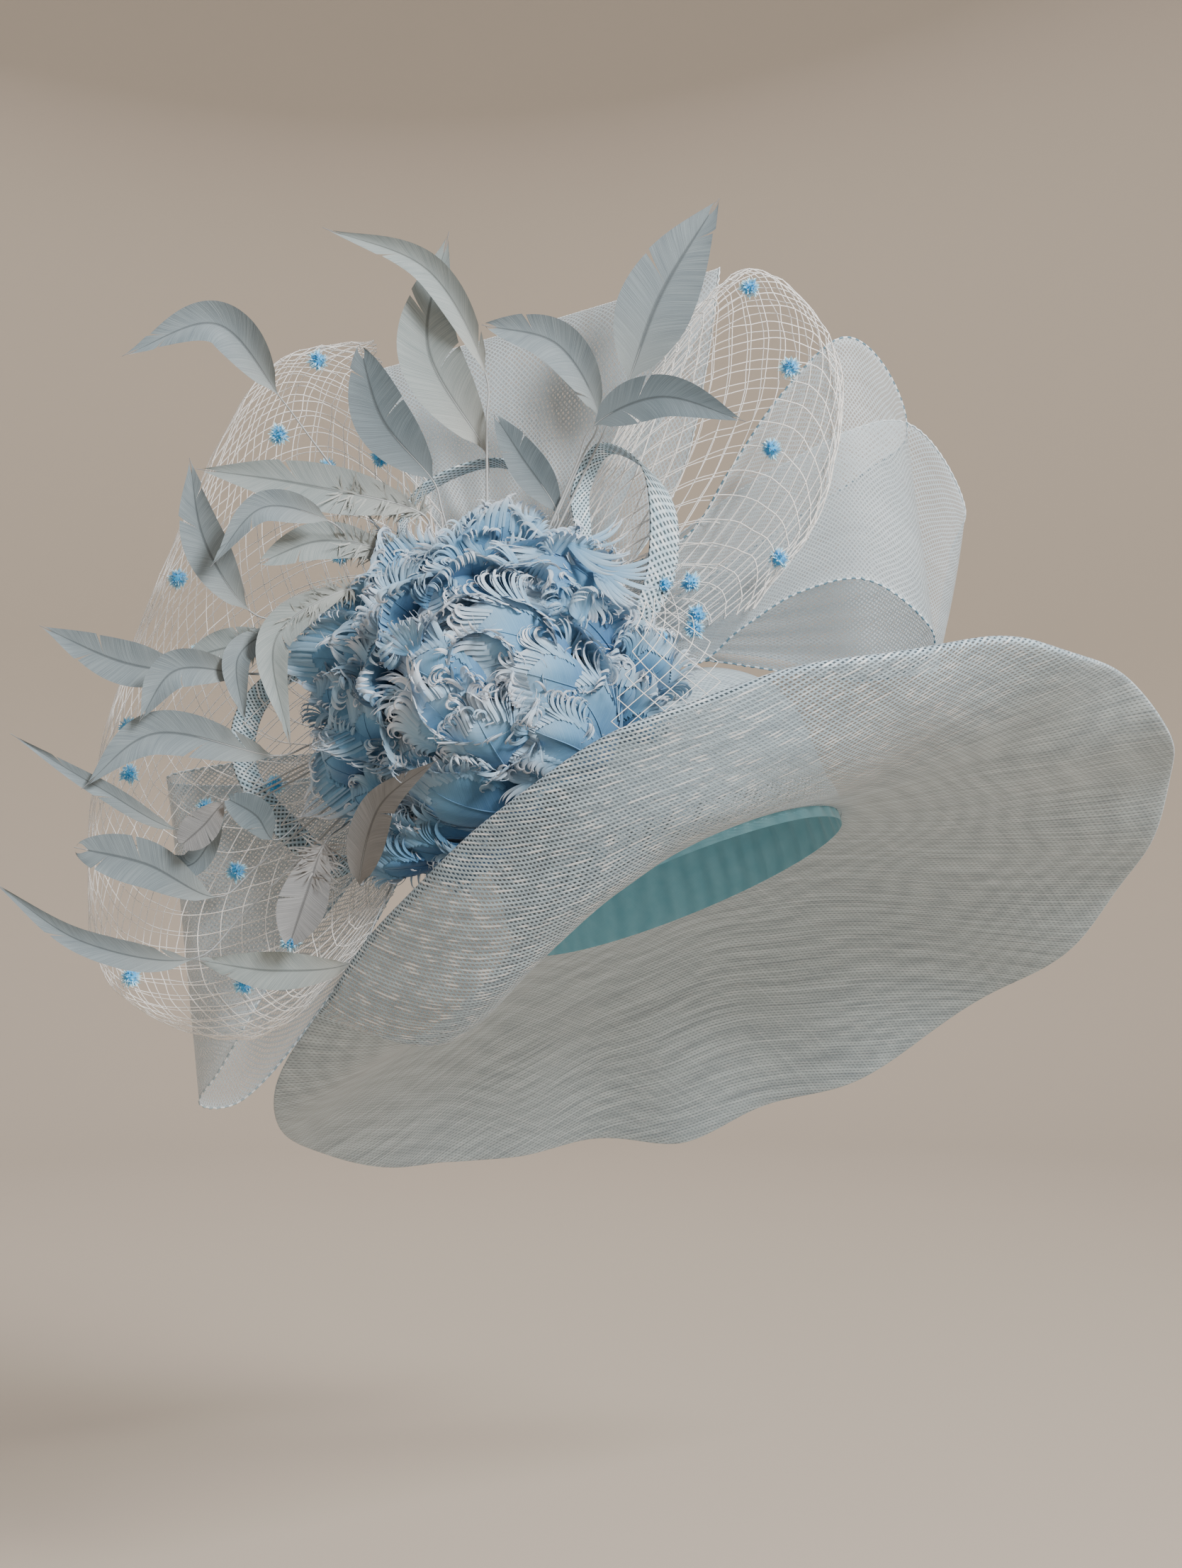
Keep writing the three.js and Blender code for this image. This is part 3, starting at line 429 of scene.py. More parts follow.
# round the brim by azimuth: how far it reaches, how far it rises and how far it sags between, of its width
brimWaves = {
    "at": [0, 17, 34, 52, 75, 93, 109, 124, 138, 153, 167, 181, 196, 214, 236, 256, 270, 292, 317, 330, 346],
    "reach": [.96, .93, .88, .81, .76, .78, .86, .92, .96, .98, .92, .82, .64, .5, .44, .46, .5, .57, .67,
              .77, .89],
    "rise": [-.2, -.38, -.53, -.58, -.65, -.63, -.62, -.56, -.4, -.33, -.23, -.16, -.04, .07, .14, .2, .22,
             .2, .14, .11, -.03],
    "sag": [.02, 0, -.03, -.06, -.1, -.12, -.1, -.08, -.06, -.02, .02, .08, .16, .2, .19, .16, .13, .1, .07,
            .05, .03],
}
brim = {"around": 420, "out": 44, "inside": -0.016, "rollAt": 119, "rollSpread": 17, "rollLift": 0.11,
        "wave": 1.2, "waves": 9, "flute": 2.6, "flutes": 14, "plainAt": 258, "creaseAt": 199, "crease": 15,
        "creaseWay": (0.3, 0.8, 0.8), "frontAt": 272, "frontRoll": 2.6, "edgeRoll": 1.0, "rollSteps": 7,
        "rollTurn": 215, "boldFrom": 196.5, "boldTo": 350}


def roundTable(table, column, azimuth):
    # a smooth periodic value of one column, read at azimuths
    at = np.array(table["at"], float)
    held = np.array(table[column], float)
    n = len(at)
    turn = np.mod(azimuth, 360)
    k = np.searchsorted(at, turn, side="right")
    (a, va), (b, vb), (c, vc), (d, vd) = ((at[i % n] + 360 * (i // n), held[i % n])
                                         for i in (k - 2, k - 1, k, k + 1))
    t = (turn - b) / (c - b)
    leave = (vc - va) / (c - a) * (c - b)
    arrive = (vd - vb) / (d - b) * (c - b)
    return (vb * (1 + 2 * t) * (1 - t) ** 2 + leave * t * (1 - t) ** 2
            + vc * t * t * (3 - 2 * t) + arrive * t * t * (t - 1))


def brimPoint(azimuth, v):
    turn = np.radians(azimuth)
    out = np.stack([np.cos(turn), np.sin(turn) * stretch, np.zeros_like(turn)], -1)
    reach, rise, sag = (roundTable(brimWaves, c, azimuth) * hat["brim"] for c in ("reach", "rise", "sag"))
    near = np.minimum(1, np.abs(azimuth - brim["rollAt"]) / brim["rollSpread"])
    roll = brim["rollLift"] * hat["brim"] * (0.5 + 0.5 * np.cos(math.pi * near)) * v * v
    points = out * (hat["crownOuter"] + 0.3 + reach * v)[..., None]
    points[..., 2] = rise * v - 4 * sag * v * (1 - v) + roll
    return points


def makeBrim():
    azimuth = np.arange(brim["around"]) * 360 / brim["around"]
    shares = np.linspace(0, 1, brim["out"] - 1) ** 0.92
    around, v = crossed(azimuth, np.concatenate([[brim["inside"]], shares]))
    turn = np.radians(around)
    flat = brimPoint(around, v)
    ripple = np.sin(turn * brim["waves"] + v * 5) * np.sin(v * 7 + turn * 4)
    flutes = np.sin(turn * brim["flutes"] + 1.2 * np.sin(turn * 3)) * np.abs(v) ** 2.5
    fluted = smooth(np.abs(around - brim["plainAt"]) / 60 - 0.6)
    flat[..., 2] += brim["wave"] * ripple * v + brim["flute"] * flutes * fluted
    past = around - brim["creaseAt"]  # the front band stands out from the shaded underside along one crease
    fade = np.exp(-(np.clip(past, 0, 90) / 30) ** 2)
    lip = smooth((past + 2) / 4) * fade * np.sin(np.abs(v) ** 0.7 * math.pi) ** 0.7
    flat -= (brim["crease"] * lip)[..., None] * np.array(brim["creaseWay"])
    outward = unit(flat[:, -1] - flat[:, -2])
    sideways = unit(np.roll(flat[:, -1], -1, 0) - np.roll(flat[:, -1], 1, 0))
    upper = unit(np.cross(outward, sideways))
    front = smooth((np.cos(np.radians(azimuth - brim["frontAt"])) - 0.25) / 0.45)
    size = (brim["edgeRoll"] + (brim["frontRoll"] - brim["edgeRoll"]) * front)[:, None, None]
    roll = np.linspace(0, math.radians(brim["rollTurn"]), brim["rollSteps"] + 1)[1:][None, :, None]
    curl = flat[:, -1:, :] + size * (np.sin(roll) * outward[:, None] + (1 - np.cos(roll)) * upper[:, None])
    points = np.concatenate([flat, curl], 1)
    gone = np.cumsum(np.linalg.norm(np.diff(points, axis=1, prepend=points[:, :1]), axis=-1), axis=1)
    reach = hat["crownOuter"] + gone
    turn = turn[:, :1]
    # the bold weave starts sharply at the crease, so the painted warm light of the underside ends along it
    bold = smooth((azimuth - brim["boldFrom"]) / 3) * smooth((brim["boldTo"] - azimuth) / 40)
    heap = Heap("clothX", "clothY", "open")
    heap.grid(fromHat(points), ringRows=True, clothX=reach * np.cos(turn),
              clothY=reach * np.sin(turn) * stretch, open=bold[:, None])
    piece = heap.make("brim_cloth", brimStraw, "straw", "brim")


crown = {"around": 160, "wallRows": 14, "domeRows": 24, "topRows": 14, "topRise": 2.2, "inset": 0.6}
crownBand = {"off": 0.5, "bow": 0.9, "wave": 0.25, "low": 1.5, "width": 15, "sway": 1.2, "across": 9}


def makeCrown():
    shoulder, outer, height = hat["shoulder"], hat["crownOuter"], hat["crownHeight"]
    rise = shoulder * hat["squash"]
    top = outer - shoulder
    profile = [(outer, z) for z in np.linspace(0, height - rise, crown["wallRows"])]
    for k in range(1, crown["domeRows"] + 1):
        t = k / crown["domeRows"] * math.pi / 2
        profile.append((top + shoulder * math.cos(t), height + rise * (math.sin(t) - 1)))
    for k in range(1, crown["topRows"] + 1):
        share = k / crown["topRows"]
        profile.append((top * (1 - share) + 0.01, height + crown["topRise"] * math.sin(share * math.pi / 2)))
    profile = np.array(profile)
    fromTop = np.concatenate([[0], np.cumsum(np.linalg.norm(np.diff(profile, axis=0), axis=1))])
    fromTop = fromTop[-1] - fromTop
    turns = roundTurns(crown["around"])
    turn, row = crossed(turns, np.arange(len(profile)))
    heap = Heap("clothX", "clothY")
    heap.grid(onHat(profile[row, 0] - crown["inset"], turn, profile[row, 1]), ringRows=True,
              clothX=fromTop[row] * np.cos(turn), clothY=fromTop[row] * np.sin(turn))
    piece = heap.make("crown_cloth", brimStraw, "straw", "crown")
    turn, v = crossed(turns, np.linspace(0, 1, crownBand["across"]))
    r = outer + crownBand["off"] + crownBand["bow"] * np.sin(v * math.pi)
    r = r + crownBand["wave"] * np.sin(turn * 3)
    z = crownBand["low"] + crownBand["width"] * v + crownBand["sway"] * np.sin(2 * turn)
    band = Heap("clothX", "clothY", "open")
    band.grid(onHat(r, turn, z), ringRows=True, clothX=turn * outer, clothY=v * crownBand["width"], open=1.0)
    piece = band.make("crown_band", biasStraw, "straw")


def satinFinish():
    p = Paint("band_satin")
    x, y = p.value("clothX"), p.value("clothY")
    rib = (y * 9.0).sin() * 0.5 + 0.5
    soft = p.noise(p.at(x, y), 0.12, 3.0)
    colour = p.mix(soft * 0.7 + rib * 0.15, (0.13, 0.40, 0.52), (0.30, 0.61, 0.73))
    return p.done({"Base Color": colour, "Roughness": 0.34 + soft * 0.12, "Normal": p.bump(rib, 0.15, 0.0001),
                   "Sheen Weight": 0.2})


sweatband = {"around": 480, "across": 15, "off": 0.5, "pleats": 44, "pleat": 0.75, "low": -5.3,
             "height": 34.5, "clothHeight": 34}


def makeSweatband():
    turn, v = crossed(roundTurns(sweatband["around"]), np.linspace(0, 1, sweatband["across"]))
    pleat = np.sin(turn * sweatband["pleats"] + 1.2 * np.sin(turn * 5) + 2.2 * v)
    inner = hat["headWidth"] / 2
    r = inner + sweatband["off"] + sweatband["pleat"] * pleat * np.sin(v * math.pi) ** 0.5
    heap = Heap("clothX", "clothY")
    heap.grid(onHat(r, turn, sweatband["low"] + sweatband["height"] * v), ringRows=True,
              clothX=turn * inner, clothY=v * sweatband["clothHeight"])
    piece = heap.make("sweatband_satin", satinFinish(), "satin", "sweatband")


makeBrim()
makeCrown()
makeSweatband()
print("brim, crown and sweatband made")


def ruled(near, far):
    # a surface between two curves given in shares of the bow's span, from the hub
    curves = [curveThrough(np.array(rows) * hat["bow"] + hubPlace) for rows in (near, far)]
    return lambda u, v: curves[0](u) * (1 - v[..., None]) + curves[1](u) * v[..., None]


crinoline = {"along": 150, "across": 30, "pitch": 2.1, "ripple": 1.6, "gathers": 8, "gatherDepth": 3.0,
             "thread": 0.52, "threadRows": 260, "zigzag": 0.8, "zigzagPitch": 4.2}


def crinolineFinish():
    # sheer mesh of fine stiff thread, woven on the diagonal
    p = Paint("crinoline_mesh")
    x, y = p.value("clothX"), p.value("clothY")
    drift = p.noise(p.at(x, y), 0.03, 2.0) * 2.0
    slant = 0.7071 / crinoline["pitch"]
    a = (x + y) * slant + drift
    b = (x - y) * slant - drift
    thread = abs((a * math.pi).sin()).most(abs((b * math.pi).sin()))
    soft = p.noise(p.at(x, y, 4.0), 0.02, 3.0)
    colour = p.mix(soft, (0.34, 0.42, 0.47), (0.52, 0.58, 0.62))
    pleat = p.noise(p.at(x * 0.006, y * 0.16, 9.0), 1.0, 3.0).step(0.38, 0.66)
    alpha = 0.2 + pleat * 0.1 + thread.step(0.74, 0.97) * 0.6 + p.value("edge") * 0.3
    return p.done({"Base Color": colour, "Roughness": 0.42, "Alpha": alpha.least(1.0),
                   "Normal": p.bump(thread, 0.3, 0.0003), "Sheen Weight": 0.3})


def selvedgeFinish():
    p = Paint("selvedge_thread")
    x, dash = p.value("clothX"), p.value("dash")
    twist = (x * 1.3).sin()
    dark = p.mix(dash, (0.56, 0.65, 0.70), (0.05, 0.16, 0.24))
    colour = p.mix(twist.step(-0.2, 0.2), dark, (0.76, 0.83, 0.88))
    return p.done({"Base Color": colour, "Roughness": 0.5, "Normal": p.bump(twist, 0.3, 0.0002)})


crinolineMesh = crinolineFinish()
selvedgeThread = selvedgeFinish()
crinolineLoops = {
    "crinoline_tall_loop": {
        "near": [(.03, .165, .065), (.25, .185, .19), (.39, .2, .4), (.45, .215, .64), (.48, .23, .865),
                 (.47, .29, .825), (.305, .27, .44), (.16, .23, .175), (.04, .18, .065)],
        "far": [(-.04, .165, .065), (-.095, .185, .28), (-.175, .2, .44), (-.21, .215, .55), (-.23, .23, .65),
                (-.22, .29, .615), (-.135, .27, .385), (-.065, .23, .175), (-.03, .18, .065)],
        "flat": (0.5, 0.1), "dash": 0.1},
    "crinoline_right_loop": {
        "near": [(.055, .145, .025), (.24, .13, .03), (.43, .11, .025), (.52, .085, .095), (.64, .065, .17),
                 (.775, .065, .195), (.905, .11, .105), (.915, .185, .05), (.83, .24, 0), (.665, .255, .01),
                 (.44, .24, .04), (.2, .21, .04), (.05, .165, .025)],
        "far": [(.05, .145, .065), (.24, .135, .2), (.415, .12, .29), (.495, .105, .415), (.6, .09, .57),
                (.73, .095, .69), (.83, .16, .63), (.88, .225, .505), (.8, .265, .44), (.64, .27, .335),
                (.44, .255, .2), (.225, .215, .08), (.05, .165, .04)],
        "flat": (0.5, 0.085), "dash": 0.9},
    "crinoline_outer_loop": {
        "near": [(.05, .185, .015), (.24, .265, .055), (.56, .335, .055), (.825, .37, .01), (.96, .39, .025),
                 (.97, .45, .05)],
        "far": [(.04, .185, .05), (.24, .29, .185), (.6, .37, .45), (.895, .385, .56), (1.025, .415, .375),
                (1, .465, .28)],
        "flat": (0.3, 0.085), "dash": 0.15},
    "crinoline_left_loop": {
        "near": [(-.05, .15, -.05), (-.28, .15, -.415), (-.45, .135, -.63), (-.56, .135, -.82),
                 (-.61, .175, -.89), (-.535, .24, -.895), (-.32, .25, -.64), (-.095, .21, -.225),
                 (-.04, .175, -.05)],
        "far": [(-.065, .15, -.01), (-.28, .15, -.145), (-.48, .145, -.175), (-.67, .15, -.21),
                (-.66, .2, -.225), (-.455, .25, -.225), (-.24, .25, -.175), (-.12, .22, -.105),
                (-.055, .175, -.015)],
        "flat": (0.48, 0.085), "dash": 0.45},
}


def makeCrinoline(name, row):
    surface = ruled(row["near"], row["far"])
    u, v = crossed(np.linspace(0, 1, crinoline["along"]), np.linspace(0, 1, crinoline["across"]))
    points = surface(u, v)
    normal = unit(np.cross(np.gradient(points, axis=0), np.gradient(points, axis=1)))
    fromHub = 1.5 * u if name.endswith("outer_loop") else 2.3 * np.minimum(u, 1 - u)
    nearHub = np.clip(1 - fromHub, 0, 1) ** 1.3
    fold = np.cos(v * crinoline["gathers"] * 2 * math.pi) * nearHub * crinoline["gatherDepth"]
    phase = sum(map(ord, name)) % 7  # each loop ripples in its own way
    ripple = np.sin(u * 15 + phase) * np.sin(v * 3 + u * 5 + phase) * crinoline["ripple"] * (1 - nearHub)
    points = points + normal * (fold + ripple)[..., None]
    length = np.linalg.norm(np.diff(points[:, crinoline["across"] // 2], axis=0), axis=-1).sum()
    width = np.linalg.norm(np.diff(points, axis=1), axis=-1).sum(1).max()
    edge = np.clip(1 - 60 * np.minimum(v, 1 - v), 0, 1)
    heap = Heap("clothX", "clothY", "edge")
    heap.grid(points, clothX=u * length, clothY=v * width, edge=edge)
    piece = heap.make(name + "_mesh", crinolineMesh, "crinoline", name)
    threads = Heap("clothX", "dash")
    rows = crinoline["threadRows"]
    for side, beside in ((0, 1), (-1, -2)):
        path, total = evenly(curveThrough(points[:, side]), rows)
        across = unit(points[:, side] - points[:, beside])
        sway = unit(curveThrough(across)(np.linspace(0, 1, rows)))
        stitch = np.linspace(0, total / crinoline["zigzagPitch"], rows) % 1
        swing = np.abs(stitch * 2 - 1)[:, None] * crinoline["zigzag"]
        threads.tube(path + sway * swing, crinoline["thread"], clothX=np.linspace(0, total, rows),
                     dash=row["dash"])
    edging = threads.make(name + "_selvedge", selvedgeThread, "crinoline")


bias = {"along": 120, "half": 7, "thick": 0.7, "clothWidth": 13}
biasLoops = {
    "bias_tall_loop": {
        "near": [(.05, .055, .05), (.16, .055, .2), (.18, .055, .27), (.17, .055, .37),
                 (.225, .055, .47), (.305, .055, .435), (.33, .055, .28), (.295, .055, .135),
                 (.16, .055, .05), (.04, .055, .015)],
        "far": [(.055, .09, .04), (.175, .08, .19), (.21, .075, .27), (.21, .075, .375), (.255, .075, .45),
                (.37, .075, .37), (.39, .075, .24), (.345, .08, .12), (.175, .09, .025), (.05, .09, 0)],
        "flat": (0.3, 0.011)},
    "bias_curl_left": {
        "near": [(-.04, .055, .07), (-.175, .055, .2), (-.18, .055, .31), (-.135, .055, .385),
                 (.015, .055, .44), (.11, .055, .4), (.15, .055, .345)],
        "far": [(-.03, .09, .07), (-.16, .09, .205), (-.165, .09, .31), (-.125, .09, .37), (.015, .09, .425),
                (.1, .09, .39), (.135, .09, .34)],
        "flat": (0.18, 0.0105)},
    "bias_low_loop": {
        "near": [(-.07, .055, .01), (-.305, .055, .025), (-.425, .055, .015), (-.51, .055, -.07),
                 (-.52, .055, -.185), (-.43, .055, -.33), (-.305, .055, -.415), (-.16, .055, -.24),
                 (-.05, .06, -.055)],
        "far": [(-.075, .09, -.01), (-.305, .09, -.01), (-.41, .09, -.02), (-.465, .09, -.09),
                (-.475, .09, -.185), (-.4, .09, -.29), (-.29, .09, -.37), (-.15, .09, -.215),
                (-.04, .09, -.05)],
        "flat": (0.36, 0.011)},
}


def makeBias(name, row):
    surface = ruled(row["near"], row["far"])
    turns = np.linspace(0, 2 * math.pi, 2 * bias["half"], endpoint=False)
    u, turn = crossed(np.linspace(0, 1, bias["along"]), turns)
    v = 0.5 - 0.5 * np.cos(turn)
    middle = surface(u, v)
    across = surface(u, np.ones_like(u)) - surface(u, np.zeros_like(u))
    normal = unit(np.cross(np.gradient(middle, axis=0), across))
    lift = np.sign(np.sin(turn)) * np.abs(np.sin(turn)) ** 0.5 * bias["thick"]
    points = middle + normal * lift[..., None]
    length = np.linalg.norm(np.diff(middle[:, 0], axis=0), axis=-1).sum()
    wide = bias["clothWidth"] * np.where(np.sin(turn) < 0, 1.07, 1)
    heap = Heap("clothX", "clothY", "open")
    heap.grid(points, ringColumns=True, clothX=u * length, clothY=v * wide, open=1.0)
    piece = heap.make(name + "_cloth", biasStraw, "straw", name)


for loopName, loopRow in crinolineLoops.items():
    makeCrinoline(loopName, loopRow)
for loopName, loopRow in biasLoops.items():
    makeBias(loopName, loopRow)
print("crinoline and bias loops made")


def threadFinish():
    p = Paint("veil_thread")
    place = p.node("ShaderNodeTexCoord", out="Object")
    colour = p.mix(p.noise(place, 90.0, 2.0), (0.86, 0.84, 0.81), (0.97, 0.96, 0.94))
    return p.done({"Base Color": colour, "Roughness": 0.6, "Sheen Weight": 0.3,
                   "Normal": p.bump(p.noise(place, 2500.0, 1.0), 0.3, 0.0002)})


def dotFinish():
    p = Paint("chenille_dot")
    tone = p.value("tone")
    place = p.node("ShaderNodeTexCoord", out="Object")
    patch = p.noise(place, 260.0, 2.0)
    colour = p.ramp(tone * 0.6 + patch * 0.5, [(0.1, (0.02, 0.27, 0.62)), (0.45, (0.07, 0.48, 0.85)),
                                               (0.8, (0.55, 0.84, 0.94))])
    return p.done({"Base Color": colour, "Roughness": 0.8, "Sheen Weight": 0.5,
                   "Normal": p.bump(patch, 0.4, 0.0004)})


veilThread = threadFinish()
chenille = dotFinish()

veil = {"thread": 0.3, "knot": 0.55, "slack": 0.5, "from": 0.03, "to": 1.97}
# dots are given by where they show in the photograph's frame
veils = {
    "veil_left": {
        "near": [(.015, .12, .055), (-.05, .12, .055), (-.07, .12, 0), (-.05, .12, -.055),
                 (.015, .12, -.055)],
        "far": [(-.24, .11, .69), (-.44, .105, .64), (-.66, .105, .24), (-.82, .105, -.28), (-.77, .09, -.64),
                (-.48, .08, -.745), (-.255, .07, -.56)],
        "across": 58, "along": 54, "puff": 13, "held": 0.1,
        "dots": [(448, 512), (390, 612), (455, 655), (540, 650), (477, 783), (249, 820), (288, 918),
                 (490, 960), (174, 1014), (185, 1100), (378, 1107), (302, 1143), (328, 1226),
                 (187, 1377), (340, 1388), (415, 1325)]},
    "veil_right": {
        "near": [(-.01, .125, .055), (.04, .125, .065), (.07, .125, .015), (.065, .125, -.03)],
        "far": [(.415, .095, .745), (.545, .08, .83), (.705, .055, .67), (.69, .045, .36),
                (.545, .055, .135)],
        "across": 36, "along": 50, "puff": 17, "held": 0.75,
        "lap": {"near": [(.37, -.02, .16), (.45, -.03, .06), (.47, -.04, -.02), (.44, -.05, -.1)],
                "far": [(.3, -.2, .12), (.29, -.235, .03), (.26, -.25, -.06), (.24, -.235, -.15)],
                "across": 12, "along": 8, "puff": 7},
        "dots": [(1057, 410), (1112, 525), (1090, 632), (1100, 780), (941, 828), (980, 818), (991, 866),
                 (993, 910), (935, 920), (865, 1048)]},
}


def puffSurface(row):
    # out over the front, round the rolled edge and back behind
    flat = ruled(row["near"], row["far"])

    def read(u, w):
        reach = np.sin(w * math.pi / 2) ** 0.85
        points = flat(u, np.clip(reach, 0, 1))
        away = smooth(np.minimum(w, 2 - w) / row["held"])  # near the hub the net lies back behind the bows
        points[..., 1] -= row["puff"] * away * np.sin(w * math.pi) * (0.55 + 0.45 * np.sin(u * math.pi))
        return points

    return read


def knotThreads(heap, nodes, shortest):
    # threads that run on the slant, both ways, through every other node of a grid
    wide, long = nodes.shape[0] - 1, nodes.shape[1] - 1
    for lean in (1, -1):
        starts = [(i, 0) for i in range(wide + 1)]
        starts += [((0 if lean > 0 else wide), j) for j in range(1, long)]
        for i, j in starts:
            count = min(long - j, (wide - i) if lean > 0 else i)
            if (i + j) % 2 or count < shortest:
                continue
            steps = np.arange(count + 1)
            path = curveThrough(nodes[i + lean * steps, j + steps])(np.linspace(0, 1, 2 * count + 1))
            heap.tube(path, veil["thread"], 3)


def addLap(heap, row):
    # a fold of the same net that laps forward over the flower's right-hand petals
    u, w = crossed(np.linspace(0, 1, row["across"] + 1), np.linspace(0, 1, row["along"] + 1))
    nodes = ruled(row["near"], row["far"])(u, w)
    nodes[..., 1] -= row["puff"] * np.sin(w * math.pi)
    knotThreads(heap, nodes, 1)


def makeVeil(name, row):
    wide, long = row["across"] + 1, row["along"] + 1
    u, w = crossed(np.linspace(0, 1, wide), np.linspace(veil["from"], veil["to"], long))
    nodes = puffSurface(row)(u, w)
    loose = np.sin(w * math.pi / 2)[..., None]
    nodes = nodes + chance.normal(0, 1, nodes.shape) * veil["slack"] * loose
    heap = Heap()
    knotThreads(heap, nodes, 2)
    knotted = np.add.outer(np.arange(wide), np.arange(long)) % 2 == 0
    turns = roundTurns(4)
    ring = np.stack([np.cos(turns), 0 * turns, np.sin(turns)], -1) * veil["knot"]
    tip = np.array([0, veil["knot"], 0])
    for place in nodes[knotted]:
        heap.grid(np.array([np.tile(place - tip, (4, 1)), place + ring, np.tile(place + tip, (4, 1))]),
                  ringColumns=True)
    if "lap" in row:
        addLap(heap, row["lap"])
    heap.make(name + "_net", veilThread, "veiling", name)
    front = nodes[:, :row["along"] // 2 + 1].reshape(-1, 3)
    seen = seenAt(front)
    dots = Heap("tone")
    for target in row["dots"]:
        makeDot(dots, front[np.argmin(np.linalg.norm(seen - np.array(target), axis=1))])
    dots.make(name + "_dots", chenille, "veiling")


dotSizes = {"fibre": 5.9, "width": 0.6, "count": 170, "core": 3.8}


def makeDot(heap, place):
    # short fibres that stand out all round a small core
    for _ in range(dotSizes["count"]):
        way = unit(chance.normal(0, 1, 3))
        side = unit(np.cross(way, chance.normal(0, 1, 3)))
        length = dotSizes["fibre"] * chance.uniform(0.75, 1.05)
        bend = chance.normal(0, 0.5, 3)
        rows = [place + way * length * s + bend * s * s for s in (0.25, 0.7, 1)]
        widths = [dotSizes["width"], dotSizes["width"], 0.05]
        strip = np.array([[r - side * w, r + side * w] for r, w in zip(rows, widths)])
        heap.grid(strip, tone=np.array([[0.0], [0.6], [1.0]]))
    up, turn = crossed(np.linspace(-math.pi / 2, math.pi / 2, 6), roundTurns(8))
    ball = np.stack([np.cos(up) * np.cos(turn), np.cos(up) * np.sin(turn), np.sin(up)], -1)
    heap.grid(place + ball * dotSizes["core"], ringColumns=True)


for veilName, veilRow in veils.items():
    makeVeil(veilName, veilRow)
print("veils and dots made")


def featherFinish(name, light, dark, warm):
    p = Paint(name)
    along, side, barb = p.value("along"), p.value("side"), p.value("barb")
    lines = p.noise(p.at(barb * 1.9, side * 0.3), 1.0, 3.0, 0.65)
    broad = p.noise(p.at(barb * 0.1, side * 0.6, 2.0), 1.0, 2.0)
    tone = lines.step(0.32, 0.68) * 0.75 + broad.step(0.3, 0.7) * 0.25
    colour = p.mix(tone, dark, light)
    colour = p.mix((1 - along).step(0.55, 1.0) * 0.5, colour, warm)
    rib = 1 - abs(side).step(0.02, 0.09)
    colour = p.mix(rib * 0.65, colour, tuple(0.35 * c for c in dark))
    return p.done({"Base Color": colour, "Roughness": 0.5 + lines * 0.2,
                   "Normal": p.bump(lines, 0.45, 0.0004), "Sheen Weight": 0.25})


def quillFinish():
    p = Paint("quill")
    along = p.value("along")
    fleck = p.noise(p.at(along * 30.0, 0.0), 1.0, 2.0)
    colour = p.mix(along * 0.8 + fleck * 0.2, (0.52, 0.55, 0.56), (0.16, 0.18, 0.2))
    return p.done({"Base Color": colour, "Roughness": 0.45, "Normal": p.bump(fleck, 0.2, 0.0002)})


# light, dark and warm colour of each tint
featherTones = {
    "blue": ((0.23, 0.29, 0.32), (0.11, 0.15, 0.18), (0.31, 0.34, 0.33)),
    "dark": ((0.14, 0.19, 0.22), (0.07, 0.10, 0.12), (0.17, 0.21, 0.23)),
    "cream": ((0.32, 0.37, 0.38), (0.17, 0.22, 0.23), (0.40, 0.40, 0.37)),
    "brown": ((0.25, 0.26, 0.27), (0.13, 0.14, 0.15), (0.29, 0.28, 0.27)),
}
featherTints = {tint: featherFinish("feather_" + tint, *tones) for tint, tones in featherTones.items()}
quill = quillFinish()

featherShape = {"vane": 16, "depth": 13, "rows": 46, "out": 7, "lag": 0.1, "splits": 1, "pull": 0.05,
                "spineSteps": 299, "stemShare": 0.84, "stemRise": 0.15, "sewnIn": 3, "quillStart": 0.85,
                "quillEnd": 0.16, "quillRows": 60}
down = {"on": ("long_left", "companion_left", "white_crescent", "grey_low", "pale_left"), "count": 170,
        "upTo": 0.38, "reach": (9, 19), "droop": 2.0}
